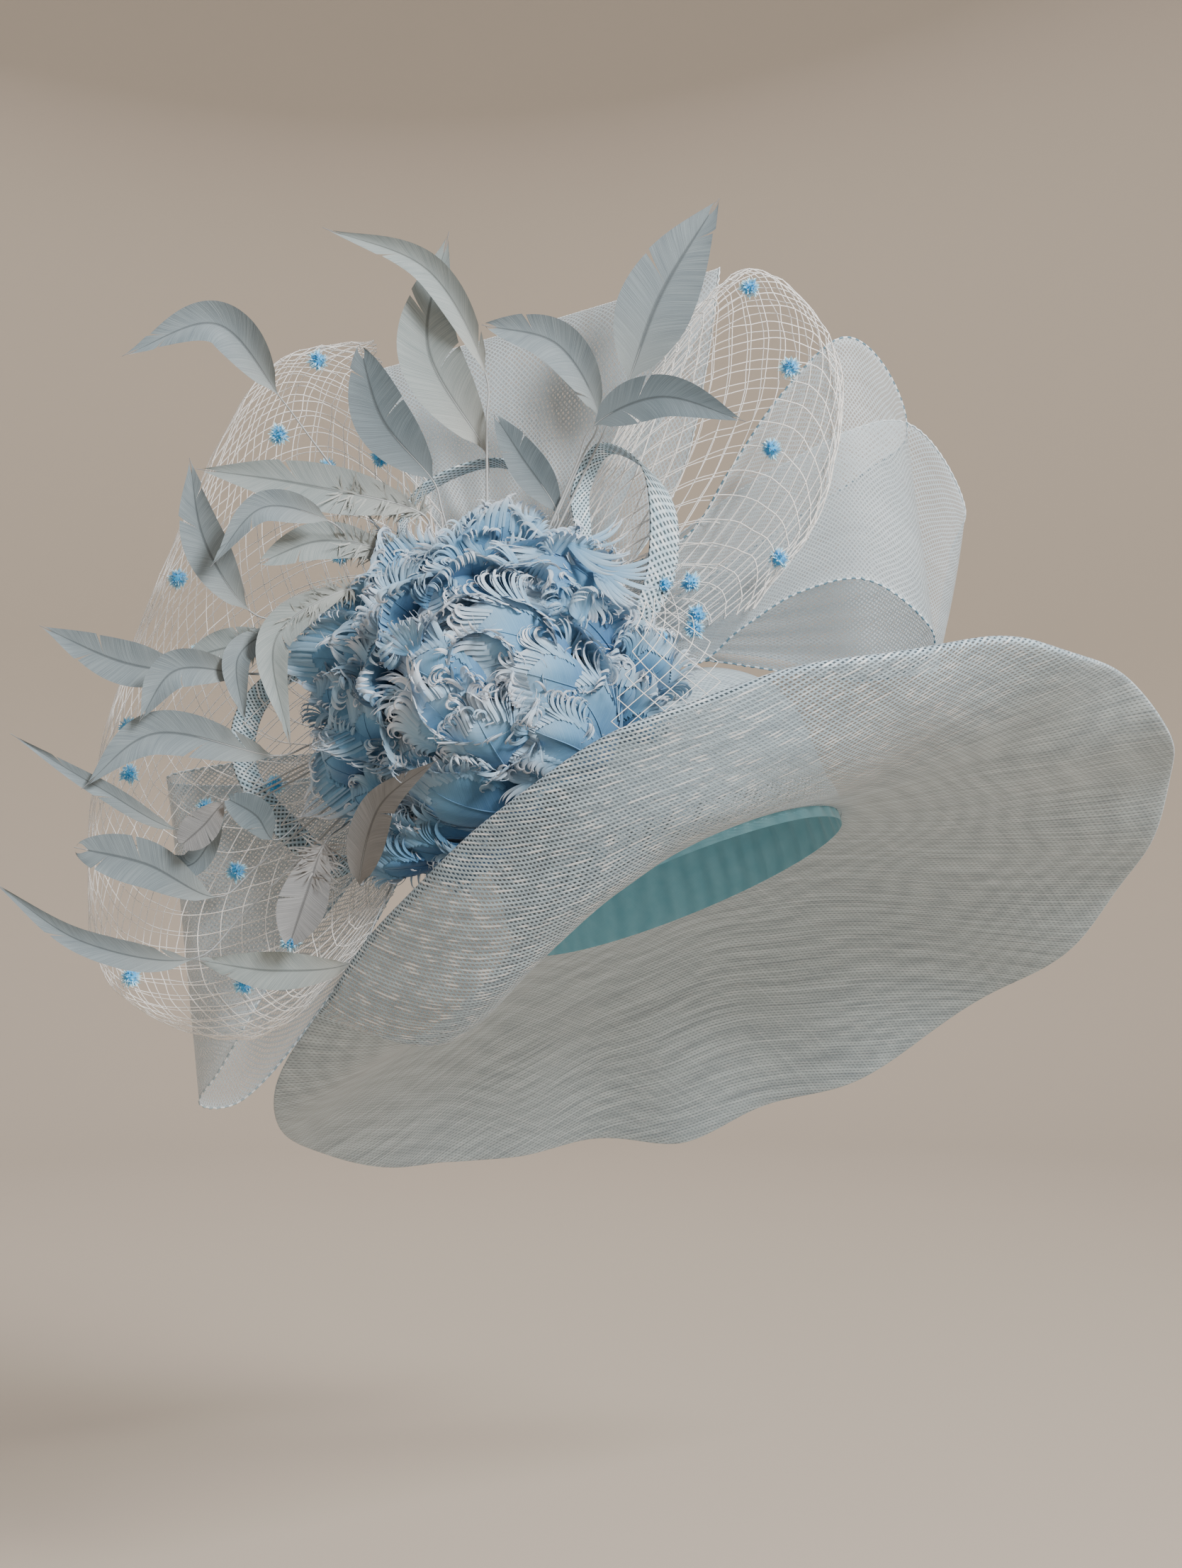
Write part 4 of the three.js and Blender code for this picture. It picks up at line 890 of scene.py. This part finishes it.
# base, bend and tip as shares of the spray's span; half width, cup, widest place, bluntness, layer, tint
feathers = {
    "crook_top": [(0, .03, .62), (-.12, -.01, .84), (-.34, -.04, .925), .5, .5, .45, 0, .46, "cream"],
    "tall_top": [(0, .05, .46), (-.125, .035, .69), (-.08, .02, .93), 1, .25, .45, 0, .77, "cream"],
    "arched_left": [(-.435, .02, .58), (-.56, -.03, .725), (-.75, -.08, .65), .7, .4, .4, 0, .46, "blue"],
    "dark_left": [(-.11, .035, .4), (-.22, .015, .535), (-.267, 0, .69), .9, .2, .5, .5, .46, "dark"],
    "crescent_top": [(.235, .035, .535), (.15, .015, .69), (-.01, 0, .73), .7, .35, .5, .5, .72, "blue"],
    "upright_right": [(.295, .045, .61), (.365, .03, .795), (.49, .02, 1), 1.2, .15, .4, .2, .92, "blue"],
    "dark_right": [(.22, -.02, .51), (.36, -.05, .57), (.54, -.08, .515), .7, .3, .35, .2, .17, "dark"],
    "dark_middle": [(.15, .025, .33), (.07, .015, .46), (.015, .01, .545), .6, .3, .45, .4, .46, "dark"],
    "long_left": [(-.13, .01, .33), (-.375, -.03, .39), (-.6, -.06, .42), .75, .2, .45, .1, .31, "cream"],
    "upright_left": [(-.49, -.02, .125), (-.583, -.05, .27), (-.61, -.08, .44), .7, .3, .45, 0, .54, "blue"],
    "small_arc": [(-.32, -.05, .31), (-.455, -.1, .335), (-.56, -.125, .21), .5, .35, .35, 0, .31, "blue"],
    "companion_left": [(-.2, .01, .25), (-.345, -.015, .275), (-.475, -.04, .225), .6, .2, .5, .6, .69,
                       "cream"],
    "white_crescent": [(-.27, -.035, .175), (-.43, -.08, .07), (-.4, -.085, -.16), .55, .35, .4, 0, .31,
                       "cream"],
    "spear_left": [(-.62, 0, 0), (-.755, -.035, .02), (-.925, -.06, .095), .7, .2, .4, 0, .77, "blue"],
    "cut_left": [(-.5, -.05, -.005), (-.64, -.08, 0), (-.71, -.1, -.105), .6, .4, .5, .1, .31, "blue"],
    "pale_left": [(-.44, .035, .07), (-.545, .03, .055), (-.635, .03, .03), .6, .1, .5, .7, .92, "cream"],
    "hook_left": [(-.44, -.03, .085), (-.51, -.07, .03), (-.495, -.08, -.11), .45, .3, .4, 0, .74, "blue"],
    "broad_left": [(-.43, -.02, -.175), (-.69, -.06, -.13), (-.83, -.1, -.245), .7, .25, .5, 0, .31, "blue"],
    "thin_upper": [(-.63, -.025, -.33), (-.8, -.07, -.24), (-.975, -.1, -.13), .3, .3, .35, 0, .69, "blue"],
    "thin_lower": [(-.6, -.04, -.595), (-.825, -.09, -.56), (-1.01, -.125, -.43), .45, .3, .3, 0, .31,
                   "blue"],
    "round_left": [(-.56, -.01, -.47), (-.71, -.03, -.4), (-.855, -.05, -.365), .75, .15, .6, .8, .62,
                   "blue"],
    "curl_left": [(-.545, 0, -.3), (-.625, .005, -.405), (-.74, 0, -.36), .4, .3, .4, .2, .92, "blue"],
    "round_small": [(-.54, -.05, -.27), (-.585, -.055, -.32), (-.635, -.06, -.365), .55, .2, .6, .8, .49,
                    "brown"],
    "oval_left": [(-.44, -.045, -.35), (-.475, -.055, -.3), (-.54, -.07, -.26), .55, .2, .5, .7, .38, "dark"],
    "white_low": [(-.27, -.05, -.6), (-.43, -.07, -.62), (-.6, -.09, -.595), .6, .15, .5, .1, .46, "cream"],
    "grey_low": [(-.33, -.08, -.355), (-.365, -.11, -.46), (-.4, -.125, -.57), .75, .3, .6, .6, .69, "brown"],
    "brown_over": [(-.26, -.04, -.445), (-.21, -.17, -.28), (-.085, -.28, -.185), .6, .25, .35, 0, .31,
                   "brown"],
}


def vaneWidth(share, peak, blunt):
    rising = np.sin(math.pi / 2 * np.clip(share / peak, 0, 1)) ** 0.8
    past = np.clip((share - peak) / (1 - peak), 0, 1)
    return rising * np.cos(math.pi / 2 * past) ** (1.15 - 0.8 * blunt)


def makeFeather(name, row):
    base, bend, tip = (np.array(p, float) * hat["spray"] for p in row[:3])
    half, cup, peak, blunt, layer, tint = row[3:]
    depth = layer * featherShape["depth"]
    angle = math.atan2(base[2], base[0])
    root = np.array([math.cos(angle), 0, math.sin(angle)]) * (hat["hubRadius"] - featherShape["sewnIn"])
    root[1] = depth
    stem = root + (base - root) * featherShape["stemShare"]
    stem[1] = depth + (base[1] - depth) * featherShape["stemRise"]
    curve = curveThrough(np.array([root, stem, base, bend, tip]) + hubPlace)
    steps = featherShape["spineSteps"]
    spine, total = evenly(curve, steps + 1)
    start = np.argmin(np.linalg.norm(spine - (base + hubPlace), axis=1)) / steps
    ahead = unit(np.gradient(spine, axis=0))
    side = unit(np.cross(ahead, [0, -1, 0]))
    face = unit(np.cross(side, ahead))

    def along(values, t):
        place = np.clip(start + (1 - start) * t, 0, 1) * steps
        return np.stack([np.interp(place, np.arange(steps + 1), values[:, c]) for c in range(3)], -1)

    heap = Heap("along", "side", "barb")
    rows, lag = featherShape["rows"], featherShape["lag"]
    vane = (1 - start) * total
    widest = half * featherShape["vane"]
    for hand in (-1, 1):
        cuts = sorted(chance.choice(np.arange(4, rows - 3), featherShape["splits"], replace=False))
        for first, last in zip([0] + cuts, cuts + [rows]):
            shares = np.arange(first, last + 1) / rows
            k, s = crossed(shares, np.linspace(0, 1, featherShape["out"]))
            t = k * (1 - lag) + lag * s ** 0.8
            span = widest * vaneWidth(t, peak, blunt) * s
            # the rows of one lock pull together towards the edge, so that a slit opens beside it
            t = np.clip(t - (k - shares.mean()) * featherShape["pull"] * s ** 2, 0, 1)
            sway = chance.normal(0, 0.35) * s ** 2
            fold = cup * half * featherShape["vane"] * vaneWidth(t, peak, blunt) * s ** 1.5
            points = (along(spine, t) + hand * along(side, t) * span[..., None]
                      + along(face, t) * (fold + 0.35 + sway)[..., None])
            heap.grid(points[:, ::hand], along=t[:, ::hand], side=(hand * s)[:, ::hand],
                      barb=(k * vane)[:, ::hand])
    for _ in range(down["count"] if name in down["on"] else 0):
        t, hand = chance.uniform(0, down["upTo"]), chance.choice([-1, 1])
        at = np.array([t])
        begin = along(spine, at)[0]
        way = unit(along(side, at)[0] * hand + along(ahead, at)[0] * 0.5 + chance.normal(0, 0.35, 3))
        droop = chance.normal(0, down["droop"], 3)
        reach = chance.uniform(*down["reach"]) * half
        path = np.array([begin + way * reach * q + droop * q * q for q in (0, 0.4, 0.75, 1)])
        wide = unit(np.cross(way, [0, 1, 0.1])) * np.array([[0.5], [0.45], [0.3], [0.05]])
        heap.grid(np.stack([path - wide, path + wide], 1), along=0.1, side=0.6, barb=t * 90)
    heap.make("feather_" + name + "_vane", featherTints[tint], "feather", "feather_" + name)
    rib = Heap("along")
    count = featherShape["quillRows"]
    path, _ = evenly(curve, count)
    sizes = np.linspace(featherShape["quillStart"], featherShape["quillEnd"], count)
    rib.tube(path, sizes, 6, along=np.linspace(0, 1, count))
    rib.make("feather_" + name + "_quill", quill, "feather")


for featherName, featherRow in feathers.items():
    makeFeather(featherName, featherRow)
print("feathers made")


def petalFinish():
    p = Paint("curled_petal")
    tone, barb, side = p.value("tone"), p.value("barb"), p.value("side")
    lines = p.noise(p.at(barb * 1.0, side * 0.4), 1.0, 3.0, 0.6)
    broad = p.noise(p.at(barb * 0.15, side, 4.0), 1.0, 2.0)
    share = (tone + (lines - 0.5) * 0.16 + (broad - 0.5) * 0.22).most(0.0).least(1.0)
    # the ramp runs from near-black navy, painted shade for the flower's depths, to the pale lavender of the
    # real tips
    colour = p.ramp(share, [(0.0, (0.008, 0.045, 0.14)), (0.25, (0.035, 0.14, 0.31)),
                            (0.5, (0.12, 0.30, 0.49)), (0.75, (0.30, 0.46, 0.61)), (1.0, (0.70, 0.74, 0.81))])
    return p.done({"Base Color": colour, "Roughness": 0.72, "Normal": p.bump(lines, 0.5, 0.0004),
                   "Sheen Weight": 0.35})


petalPaint = petalFinish()
# count of feathers, azimuth of the first, bow and end of their profile as (out, forward), how far the tip
# turns back, how many curled locks each has, lengths round the whorl from a start azimuth, foot's lightness
# the foot's lightness is painted shade: the back whorls are kept darker so they read as deep shadow between
# the petals
whorls = {
    "flower_whorl_outer": {"count": 12, "first": 4, "bow": (.5, .12), "end": (1, .17), "back": 8, "locks": 26,
                           "start": 8, "lengths": [.8, .84, .82, .8, .92, 1.04, 1.04, .72, .6],
                           "shade": 0.08},
    "flower_whorl_second": {"count": 10, "first": 20, "bow": (.46, .24), "end": (.76, .44), "back": 5,
                            "locks": 24, "start": 28, "lengths": [.98, 1, .94, .94, 1.06, 1.04, .94, .9],
                            "shade": 0.02},
    "flower_whorl_third": {"count": 8, "first": 9, "bow": (.42, .34), "end": (.58, .68), "back": 1,
                           "locks": 22, "start": 12, "lengths": [1, .96, 1, .94, 1, .96, 1], "shade": 0.0},
    "flower_whorl_inner": {"count": 5, "first": 31, "bow": (.34, .44), "end": (.38, .8), "back": -3,
                           "locks": 18, "start": 40, "lengths": [1, .95, 1, .96, 1, .95], "shade": 0.1},
    "flower_heart": {"count": 3, "first": 0, "bow": (.24, .5), "end": (.16, .86), "back": -3, "locks": 14,
                     "start": 0, "lengths": [1, 1, 1, 1, 1], "shade": 0.15},
}
# laidShade and laidLight are painted shade: a laid feather's foot lightness, and how much lighter it gets per
# millimetre forward
petal = {"fullness": 1.3, "across": 11, "along": 16, "cup": 5.5, "lean": 2.6, "ruffle": 1.6, "overlap": 1.5,
         "foot": 0.8, "lock": 15.5, "lockWidth": 1.5, "hairWidth": 0.2, "steps": 12, "bundle": 14,
         "laidCup": 0.3, "bulge": 0.2, "laidLocks": 26, "laidShade": 0.03, "laidLight": 0.0034}
# feathers laid one by one over each whorl, from the hub's middle: tip and foot (right, up), how far forward
# tip and foot stand, width, and how far the tip curls over
laidPetals = {
    "flower_whorl_outer": [
        (10, 80, 8, 44, 18, 16, 32, 3), (-20, 62, 6, 36, 20, 18, 38, 4),
        (-32, -70, 24, -73, 28, 16, 30, 4), (-44, -80, 12, -83, 18, 10, 18, 5),
        (-82, -6, -54, -28, 14, 14, 30, 5), (-83, -43, -52, -57, 14, 12, 30, 5),
        (-68, -61, -42, -73, 12, 10, 28, 5), (-47, -87, 4, -91, 16, 10, 20, 4),
        (-28, -95, 14, -89, 12, 8, 18, 3), (-58, -97, -16, -93, 14, 8, 20, 4),
        (-56, -78, -12, -84, 20, 12, 18, 5), (88, -26, 60, -34, 22, 18, 28, 3)],
    "flower_whorl_second": [
        (18, 52, 56, 43, 40, 28, 26, 3), (-54, -16, -31, -34, 36, 26, 28, 4),
        (-58, 12, -33, 0, 32, 24, 30, 4), (-49, 35, -24, 19, 30, 24, 32, 4),
        (-62, -16, -40, -52, 30, 20, 28, 4), (66, 36, 20, 64, 30, 24, 32, 3),
        (76, -6, 56, -28, 34, 24, 34, 2), (94, 8, 62, -14, 24, 20, 34, 3)],
    "flower_whorl_third": [
        (-34, -55, 30, -68, 44, 28, 44, 4), (-21, 20, 18, 24, 56, 44, 30, 5),
        (-28, 38, 12, 38, 44, 34, 32, 5), (-41, -40, -18, -51, 46, 34, 26, 5)],
    "flower_whorl_inner": [
        (38, -6, 58, -48, 58, 36, 36, 3), (20, -30, 58, -48, 64, 38, 28, 8),
        (23, 36, 66, 4, 48, 30, 36, 3), (9, -43, 60, -50, 56, 30, 26, 6)],
    "flower_heart": [
        (-41, 4, 6, -19, 58, 62, 40, 9), (-29, -13, 6, -36, 66, 52, 40, 3), (-9, 18, 42, 2, 66, 50, 38, 4),
        (17, -2, 54, -12, 70, 46, 34, 3), (-4, -22, 14, -52, 70, 44, 36, 3)],
}


def petalSpread(v):
    grown = 0.2 + 0.8 * np.minimum(1, v / 0.62)
    past = np.clip((v - 0.62) / 0.38, 0, 1)
    return np.sin(math.pi / 2 * grown) * (1 - 0.5 * past * past)


def addLock(heap, inner, root, outward, axis, lay, length, width, curl, low):
    # a tapering lock of barbs that turns about an axis, more and more towards its tip
    steps = petal["steps"]
    forward, spot = outward, root
    path, wide = [inner], []
    for s in range(steps):
        path.append(spot)
        turn = curl * 2 * (s + 0.5) / steps ** 2
        forward = unit(forward * math.cos(turn) + np.cross(axis, forward) * math.sin(turn)
                       + axis * chance.normal(0.02, 0.03))
        spot = spot + forward * length / steps * (1.25 - 0.5 * s / steps)
        wide.append(unit(axis * math.cos(lay) + np.cross(axis, forward) * math.sin(lay)))
    path = np.array(path)
    wide = np.array(wide[:1] + wide)
    swell = np.linspace(0, 1, len(path))
    wide = wide * (width * (0.75 + 0.6 * swell) * (1 - swell ** 1.6) + 0.05)[:, None]
    crown = unit(np.cross(wide, np.gradient(path, axis=0))) * width * 0.3
    crown[crown[:, 1] > 0] *= -1
    columns = [path - wide, path + crown, path + wide] if width > 0.4 else [path - wide, path + wide]
    strip = np.stack(columns, 1)
    rise = low + (min(1, low + 0.42) - low) * swell[:, None] ** 0.9
    heap.grid(strip, tone=rise, barb=chance.uniform(0, 60) + np.linspace(-1, 1, len(columns))[None, :] * 2,
              side=swell[:, None] * 2)


# how the locks of one bundle turn: some hook over in the petal's own plane, some roll towards the eye
bundleKinds = {"hook": {"share": 0.5, "turn": (2.8, 6.2), "lay": (0.8, 1.4)},
               "roll": {"share": 0.22, "turn": (2.2, 4.8), "lay": (-0.2, 0.5)},
               "soft": {"share": 0.28, "turn": (0.8, 2.2), "lay": (1.0, 1.6)}}
bundleSizes = {"backward": 0.1, "long": (0.7, 1.5), "tilt": 0.22}


def bundle():
    kind = chance.choice(list(bundleKinds), p=[row["share"] for row in bundleKinds.values()])
    row = bundleKinds[kind]
    back = -1 if chance.uniform() < bundleSizes["backward"] else 1
    return {"kind": kind, "turn": back * chance.uniform(*row["turn"]), "lay": chance.uniform(*row["lay"]),
            "long": chance.uniform(*bundleSizes["long"]), "tilt": chance.normal(0, bundleSizes["tilt"])}


def fringe(heap, inner, root, outward, sideways, normal, hand, length, width, low, group):
    # one lock at an edge, nearly as its bundle goes
    if group["kind"] == "roll":
        axis = np.cross(normal, outward) * -1 + outward * (group["tilt"] + chance.normal(0, 0.08))
    else:
        axis = normal * -hand + outward * (group["tilt"] + chance.normal(0, 0.1))
        axis = axis + sideways * chance.normal(0, 0.1)
    lay = group["lay"] + chance.normal(0, 0.12)
    addLock(heap, inner, root, outward, unit(axis), lay, length * group["long"],
            width * (0.75 + 0.25 * group["long"]), group["turn"] * chance.uniform(0.85, 1.15), low)


def dressPetal(heap, surface, locks, size, shade):
    # the blade, its rib, and the locks and hairs round its edge
    u, v = crossed(np.linspace(-1, 1, petal["across"]), np.linspace(0.02, 1, petal["along"]))
    # darker at the foot, lighter to the tip: partly the feathers' own pale tips, partly painted shade deep in
    # the flower
    tone = np.clip(shade + 0.5 * v ** 1.4 + 0.16 * u * u * v, 0, 0.95)
    heap.grid(surface(u, v), tone=tone, barb=v * 60 - np.abs(u) * 14, side=u)
    spine = np.linspace(0.05, 0.94, 14)
    rib = surface(0 * spine, spine) + np.array([0, -0.3, 0])
    heap.tube(rib, np.linspace(0.45, 0.12, 14), 5, tone=np.linspace(shade, shade + 0.4, 14))

    def spot(u, v):
        return surface(np.array(u), np.array(v))

    locks = round(locks * petal["fullness"])
    for n in range(2 * locks):
        if n % petal["bundle"] == 0:
            group = bundle()
        share = (n // 2 + 0.5 + chance.uniform(-0.35, 0.35)) / locks
        hair = n % 2
        edge = abs(2 * share - 1)  # 0 at the tip, 1 at the foot of either side
        hand = 1 if share > 0.5 else -1
        up = 1 - 0.58 * edge ** 1.3
        out = hand * min(1, edge * 2.4) * 0.9
        root = spot(out, up)
        across = unit(spot(out + 0.02, up) - spot(out - 0.02, up))
        ahead = unit(root - spot(out, up - 0.02))
        outward = unit(ahead * 1.3 + across * hand * (0.75 * min(1, edge * 1.6) + 0.05))
        normal = unit(np.cross(across, ahead))
        normal = normal if normal[1] < 0 else -normal
        outward = unit(outward + normal * 0.15)
        inner = spot(out * 0.8, up - 0.12) + normal * 0.3
        length = petal["lock"] * chance.uniform(0.85, 1.1) * (0.65 + 0.35 * size) * (1.1 if hair else 1)
        width = petal["hairWidth"] if hair else petal["lockWidth"] * chance.uniform(0.75, 1.25)
        # locks likewise get lighter towards the petal's tip: partly real pale tips, partly painted shade
        low = min(0.78, shade + 0.52 * up ** 1.3 + 0.06)
        fringe(heap, inner, root, outward, across, normal, hand, length, width, low, group)


# loose tufts between the petals, from the hub's middle: right, up, forward, aim in degrees, size, and the
# hand that they curl to; a tuft further forward than a limit below belongs to the next whorl
tufts = [
    (15, -10, 66, 150, 1.0, 1), (14, -17, 66, 200, 0.8, -1), (25, -31, 64, 160, 1.2, 1),
    (-5, -31, 66, 95, 1.2, -1), (-12, -56, 50, 110, 1.0, 1), (-41, -73, 26, 150, 0.9, -1),
    (-28, -47, 50, 160, 1.1, 1), (-24, -3, 60, 70, 0.9, 1), (-11, 22, 56, 120, 1.0, -1),
    (-13, 38, 46, 170, 1.2, 1), (-19, 50, 34, 140, 1.0, 1), (19, 71, 24, 120, 1.1, 1),
    (17, 50, 42, 150, 1.2, -1), (35, 23, 48, 150, 1.2, 1), (54, 43, 34, 200, 1.2, 1),
    (-40, 37, 34, 130, 1.1, -1), (-47, 13, 36, 170, 1.1, 1), (-47, -22, 38, 190, 1.1, -1),
    (-46, -40, 34, 200, 1.1, 1), (42, 8, 52, 100, 1.0, -1), (44, -18, 52, 120, 1.0, 1),
    (62, 8, 34, 60, 1.0, -1), (0, 60, 30, 100, 1.0, -1), (-60, -4, 28, 180, 1.0, 1),
    (-66, -34, 20, 200, 1.0, -1), (5, -64, 44, 140, 0.9, 1), (-44, -100, 14, 205, 1.3, 1),
    (58, 50, 42, -60, 1.7, -1), (46, 62, 38, -25, 1.6, -1), (50, 26, 52, 125, 1.4, 1),
    (-34, 8, 62, 120, 1.5, 1),
]
tuftShape = {"locks": 13, "spread": 1.7, "shade": 0.45, "limits": (28, 36, 46, 55)}


def facingAt(right, up):
    # the way that the flower's dome faces at a place on it
    return unit(np.array([right * 0.8, -60, up * 0.8]))


def makeTuft(heap, row):
    right, up, forward, aim, size, hand = row
    facing = facingAt(right, up)
    ahead = np.array([math.cos(math.radians(aim)), 0, math.sin(math.radians(aim))])
    across = unit(np.cross(ahead, facing))
    ahead = np.cross(facing, across)
    root = hubPlace + np.array([right, -forward + 3, up])
    group = bundle()
    for n in range(tuftShape["locks"]):
        spread = (n / (tuftShape["locks"] - 1) - 0.5) * tuftShape["spread"] + chance.normal(0, 0.12)
        outward = unit(ahead * math.cos(spread) + across * math.sin(spread) + facing * 0.3)
        start = root + across * spread * 3 - facing * 3
        fringe(heap, start - outward * 3, start, outward, across, facing, hand, petal["lock"] * size * 0.9,
               petal["lockWidth"] * chance.uniform(0.6, 1.1), tuftShape["shade"], group)


def whorlSurface(row, level, azimuth):
    seat = 0.3 + level * 3.9  # the whorls are sewn one above the other
    baseRadius = 17 - 2 * level
    lengths = row["lengths"]
    place = ((azimuth - row["start"]) % 360) / 360 * len(lengths)
    low = int(place)
    size = lengths[low] + (lengths[(low + 1) % len(lengths)] - lengths[low]) * (place - low)
    size *= chance.uniform(0.84, 1.02)
    middle = math.radians(azimuth)
    halfAngle = math.radians(petal["overlap"] * 180 / row["count"]) * chance.uniform(0.85, 1.2)
    phase = chance.uniform(0, 6.28)
    shift = chance.normal(0, 3.5)
    lean = petal["lean"] + chance.normal(0, 3.5)

    def surface(u, v):
        a, b, c = (1 - v) ** 2, 2 * v * (1 - v), v * v
        out = a * baseRadius * petal["foot"] + (b * row["bow"][0] + c * row["end"][0]) * hat["flower"]
        radius = out * (1 + (size - 1) * v) * (1 - 0.1 * u * u * v * v)
        rise = (b * row["bow"][1] + c * row["end"][1]) * hat["flowerDepth"]
        forward = (a + 0.3 * b) * (seat + 1.8) + rise + shift * v
        forward = forward + petal["cup"] * u * u * np.sin(np.clip(v, 0, 1) * math.pi * 0.75)
        forward = forward + lean * u * v
        forward = forward + petal["ruffle"] * np.sin(u * 6 + phase + v * 4) * v * v
        forward = forward - row["back"] * np.clip((v - 0.6) / 0.4, 0, 1.3) ** 2
        angle = middle + halfAngle * u * petalSpread(np.clip(v, 0, 1))
        return hubPlace + np.stack([radius * np.cos(angle), -forward, radius * np.sin(angle)], -1)

    return surface, size


def laidSurface(row):
    tip = np.array([row[0], -row[4], row[1]], float)
    foot = np.array([row[2], -row[5], row[3]], float)
    middle = (tip + foot) / 2
    facing = facingAt(middle[0], middle[2])
    length = np.linalg.norm(tip - foot)
    sway = unit(np.cross(tip - foot, facing)) * chance.normal(0, 0.1) * length
    bow = middle + facing * petal["bulge"] * length + sway
    phase = chance.uniform(0, 6.28)

    def surface(u, v):
        u, v = u[..., None], v[..., None]
        spine = (1 - v) ** 2 * foot + 2 * v * (1 - v) * bow + v * v * tip
        ahead = 2 * (1 - v) * (bow - foot) + 2 * v * (tip - bow)
        across = unit(np.cross(ahead, facing))
        normal = unit(np.cross(across, ahead))
        half = row[6] / 2 * petalSpread(np.clip(v, 0, 1))
        lift = petal["ruffle"] * np.sin(u * 5 + phase + v * 4) * v - petal["laidCup"] * half * u * u
        lift = lift - row[7] * np.clip((v - 0.65) / 0.35, 0, 1.3) ** 2
        return hubPlace + spine + across * u * half + normal * lift

    return surface, length / 45


def tuftHome(row):
    # the whorl that a tuft is sewn to
    place = sum(row[2] > limit for limit in tuftShape["limits"])
    return list(whorls)[place]


def makeWhorl(name, row, level):
    heap = Heap("tone", "barb", "side")
    for k in range(row["count"]):
        azimuth = row["first"] + 360 * k / row["count"] + chance.normal(0, 5)
        surface, size = whorlSurface(row, level, azimuth)
        dressPetal(heap, surface, row["locks"], size, row["shade"])
    for laid in laidPetals[name]:
        surface, size = laidSurface(laid)
        # painted shade: a laid feather is darker the deeper its tip lies in the flower, lighter the further
        # forward it stands
        dressPetal(heap, surface, petal["laidLocks"], size, petal["laidShade"] + petal["laidLight"] * laid[4])
    for spot in tufts:
        if tuftHome(spot) == name:
            makeTuft(heap, spot)
    heap.make(name + "_feathers", petalPaint, "petal", name)


for level, (whorlName, whorlRow) in enumerate(whorls.items()):
    makeWhorl(whorlName, whorlRow, level)
print("flower made")


def feltFinish():
    p = Paint("hub_felt")
    place = p.node("ShaderNodeTexCoord", out="Object")
    wool = p.noise(place, 700.0, 4.0, 0.7)
    colour = p.mix(wool, (0.22, 0.32, 0.42), (0.40, 0.52, 0.62))
    return p.done({"Base Color": colour, "Roughness": 0.95, "Normal": p.bump(wool, 0.5, 0.0006),
                   "Sheen Weight": 0.4})


def makeHub():
    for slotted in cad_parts["trim_hub"].material_slots:
        slotted.material = feltFinish()


rosette = {"folds": 22, "around": 264, "rim": 27, "depth": 2.2, "stand": 1.2, "rows": 16, "stud": (4.2, 2.6)}


def makeRosette():
    # a gathered round of straw ribbon that covers the back of the hub, with a stud in its middle
    turns = roundTurns(rosette["around"])
    turn, out = crossed(turns, np.linspace(0.06, 1, rosette["rows"]))
    r = rosette["rim"] * out * (1 + 0.03 * np.sin(turn * rosette["folds"] + 0.8))
    fold = rosette["depth"] * np.abs(np.sin(turn * rosette["folds"] / 2 + 0.5 * out)) * np.minimum(1, 3 * out)
    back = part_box("trim_hub")[1][1] / mm - hubPlace[1] + rosette["stand"]
    dome = 3.5 * (1 - out ** 2) - 3 * smooth((out - 0.85) / 0.15)
    points = hubPlace + np.stack([r * np.cos(turn), back + fold + dome, r * np.sin(turn)], -1)
    heap = Heap("clothX", "clothY", "open")
    heap.grid(points, ringRows=True, clothX=turn * 24, clothY=out * rosette["rim"], open=1.0)
    wide, deep = rosette["stud"]
    up, turn = crossed(np.linspace(0, math.pi / 2, 6), turns[::12])
    ball = np.stack([wide * np.cos(up) * np.cos(turn), back + 4.5 + deep * np.sin(up),
                     wide * np.cos(up) * np.sin(turn)], -1)
    heap.grid(hubPlace + ball, ringColumns=True, clothX=turn * 4, clothY=up * 4, open=1.0)
    piece = heap.make("hub_rosette", biasStraw, "straw")


makeHub()
makeRosette()
print("hub finished")
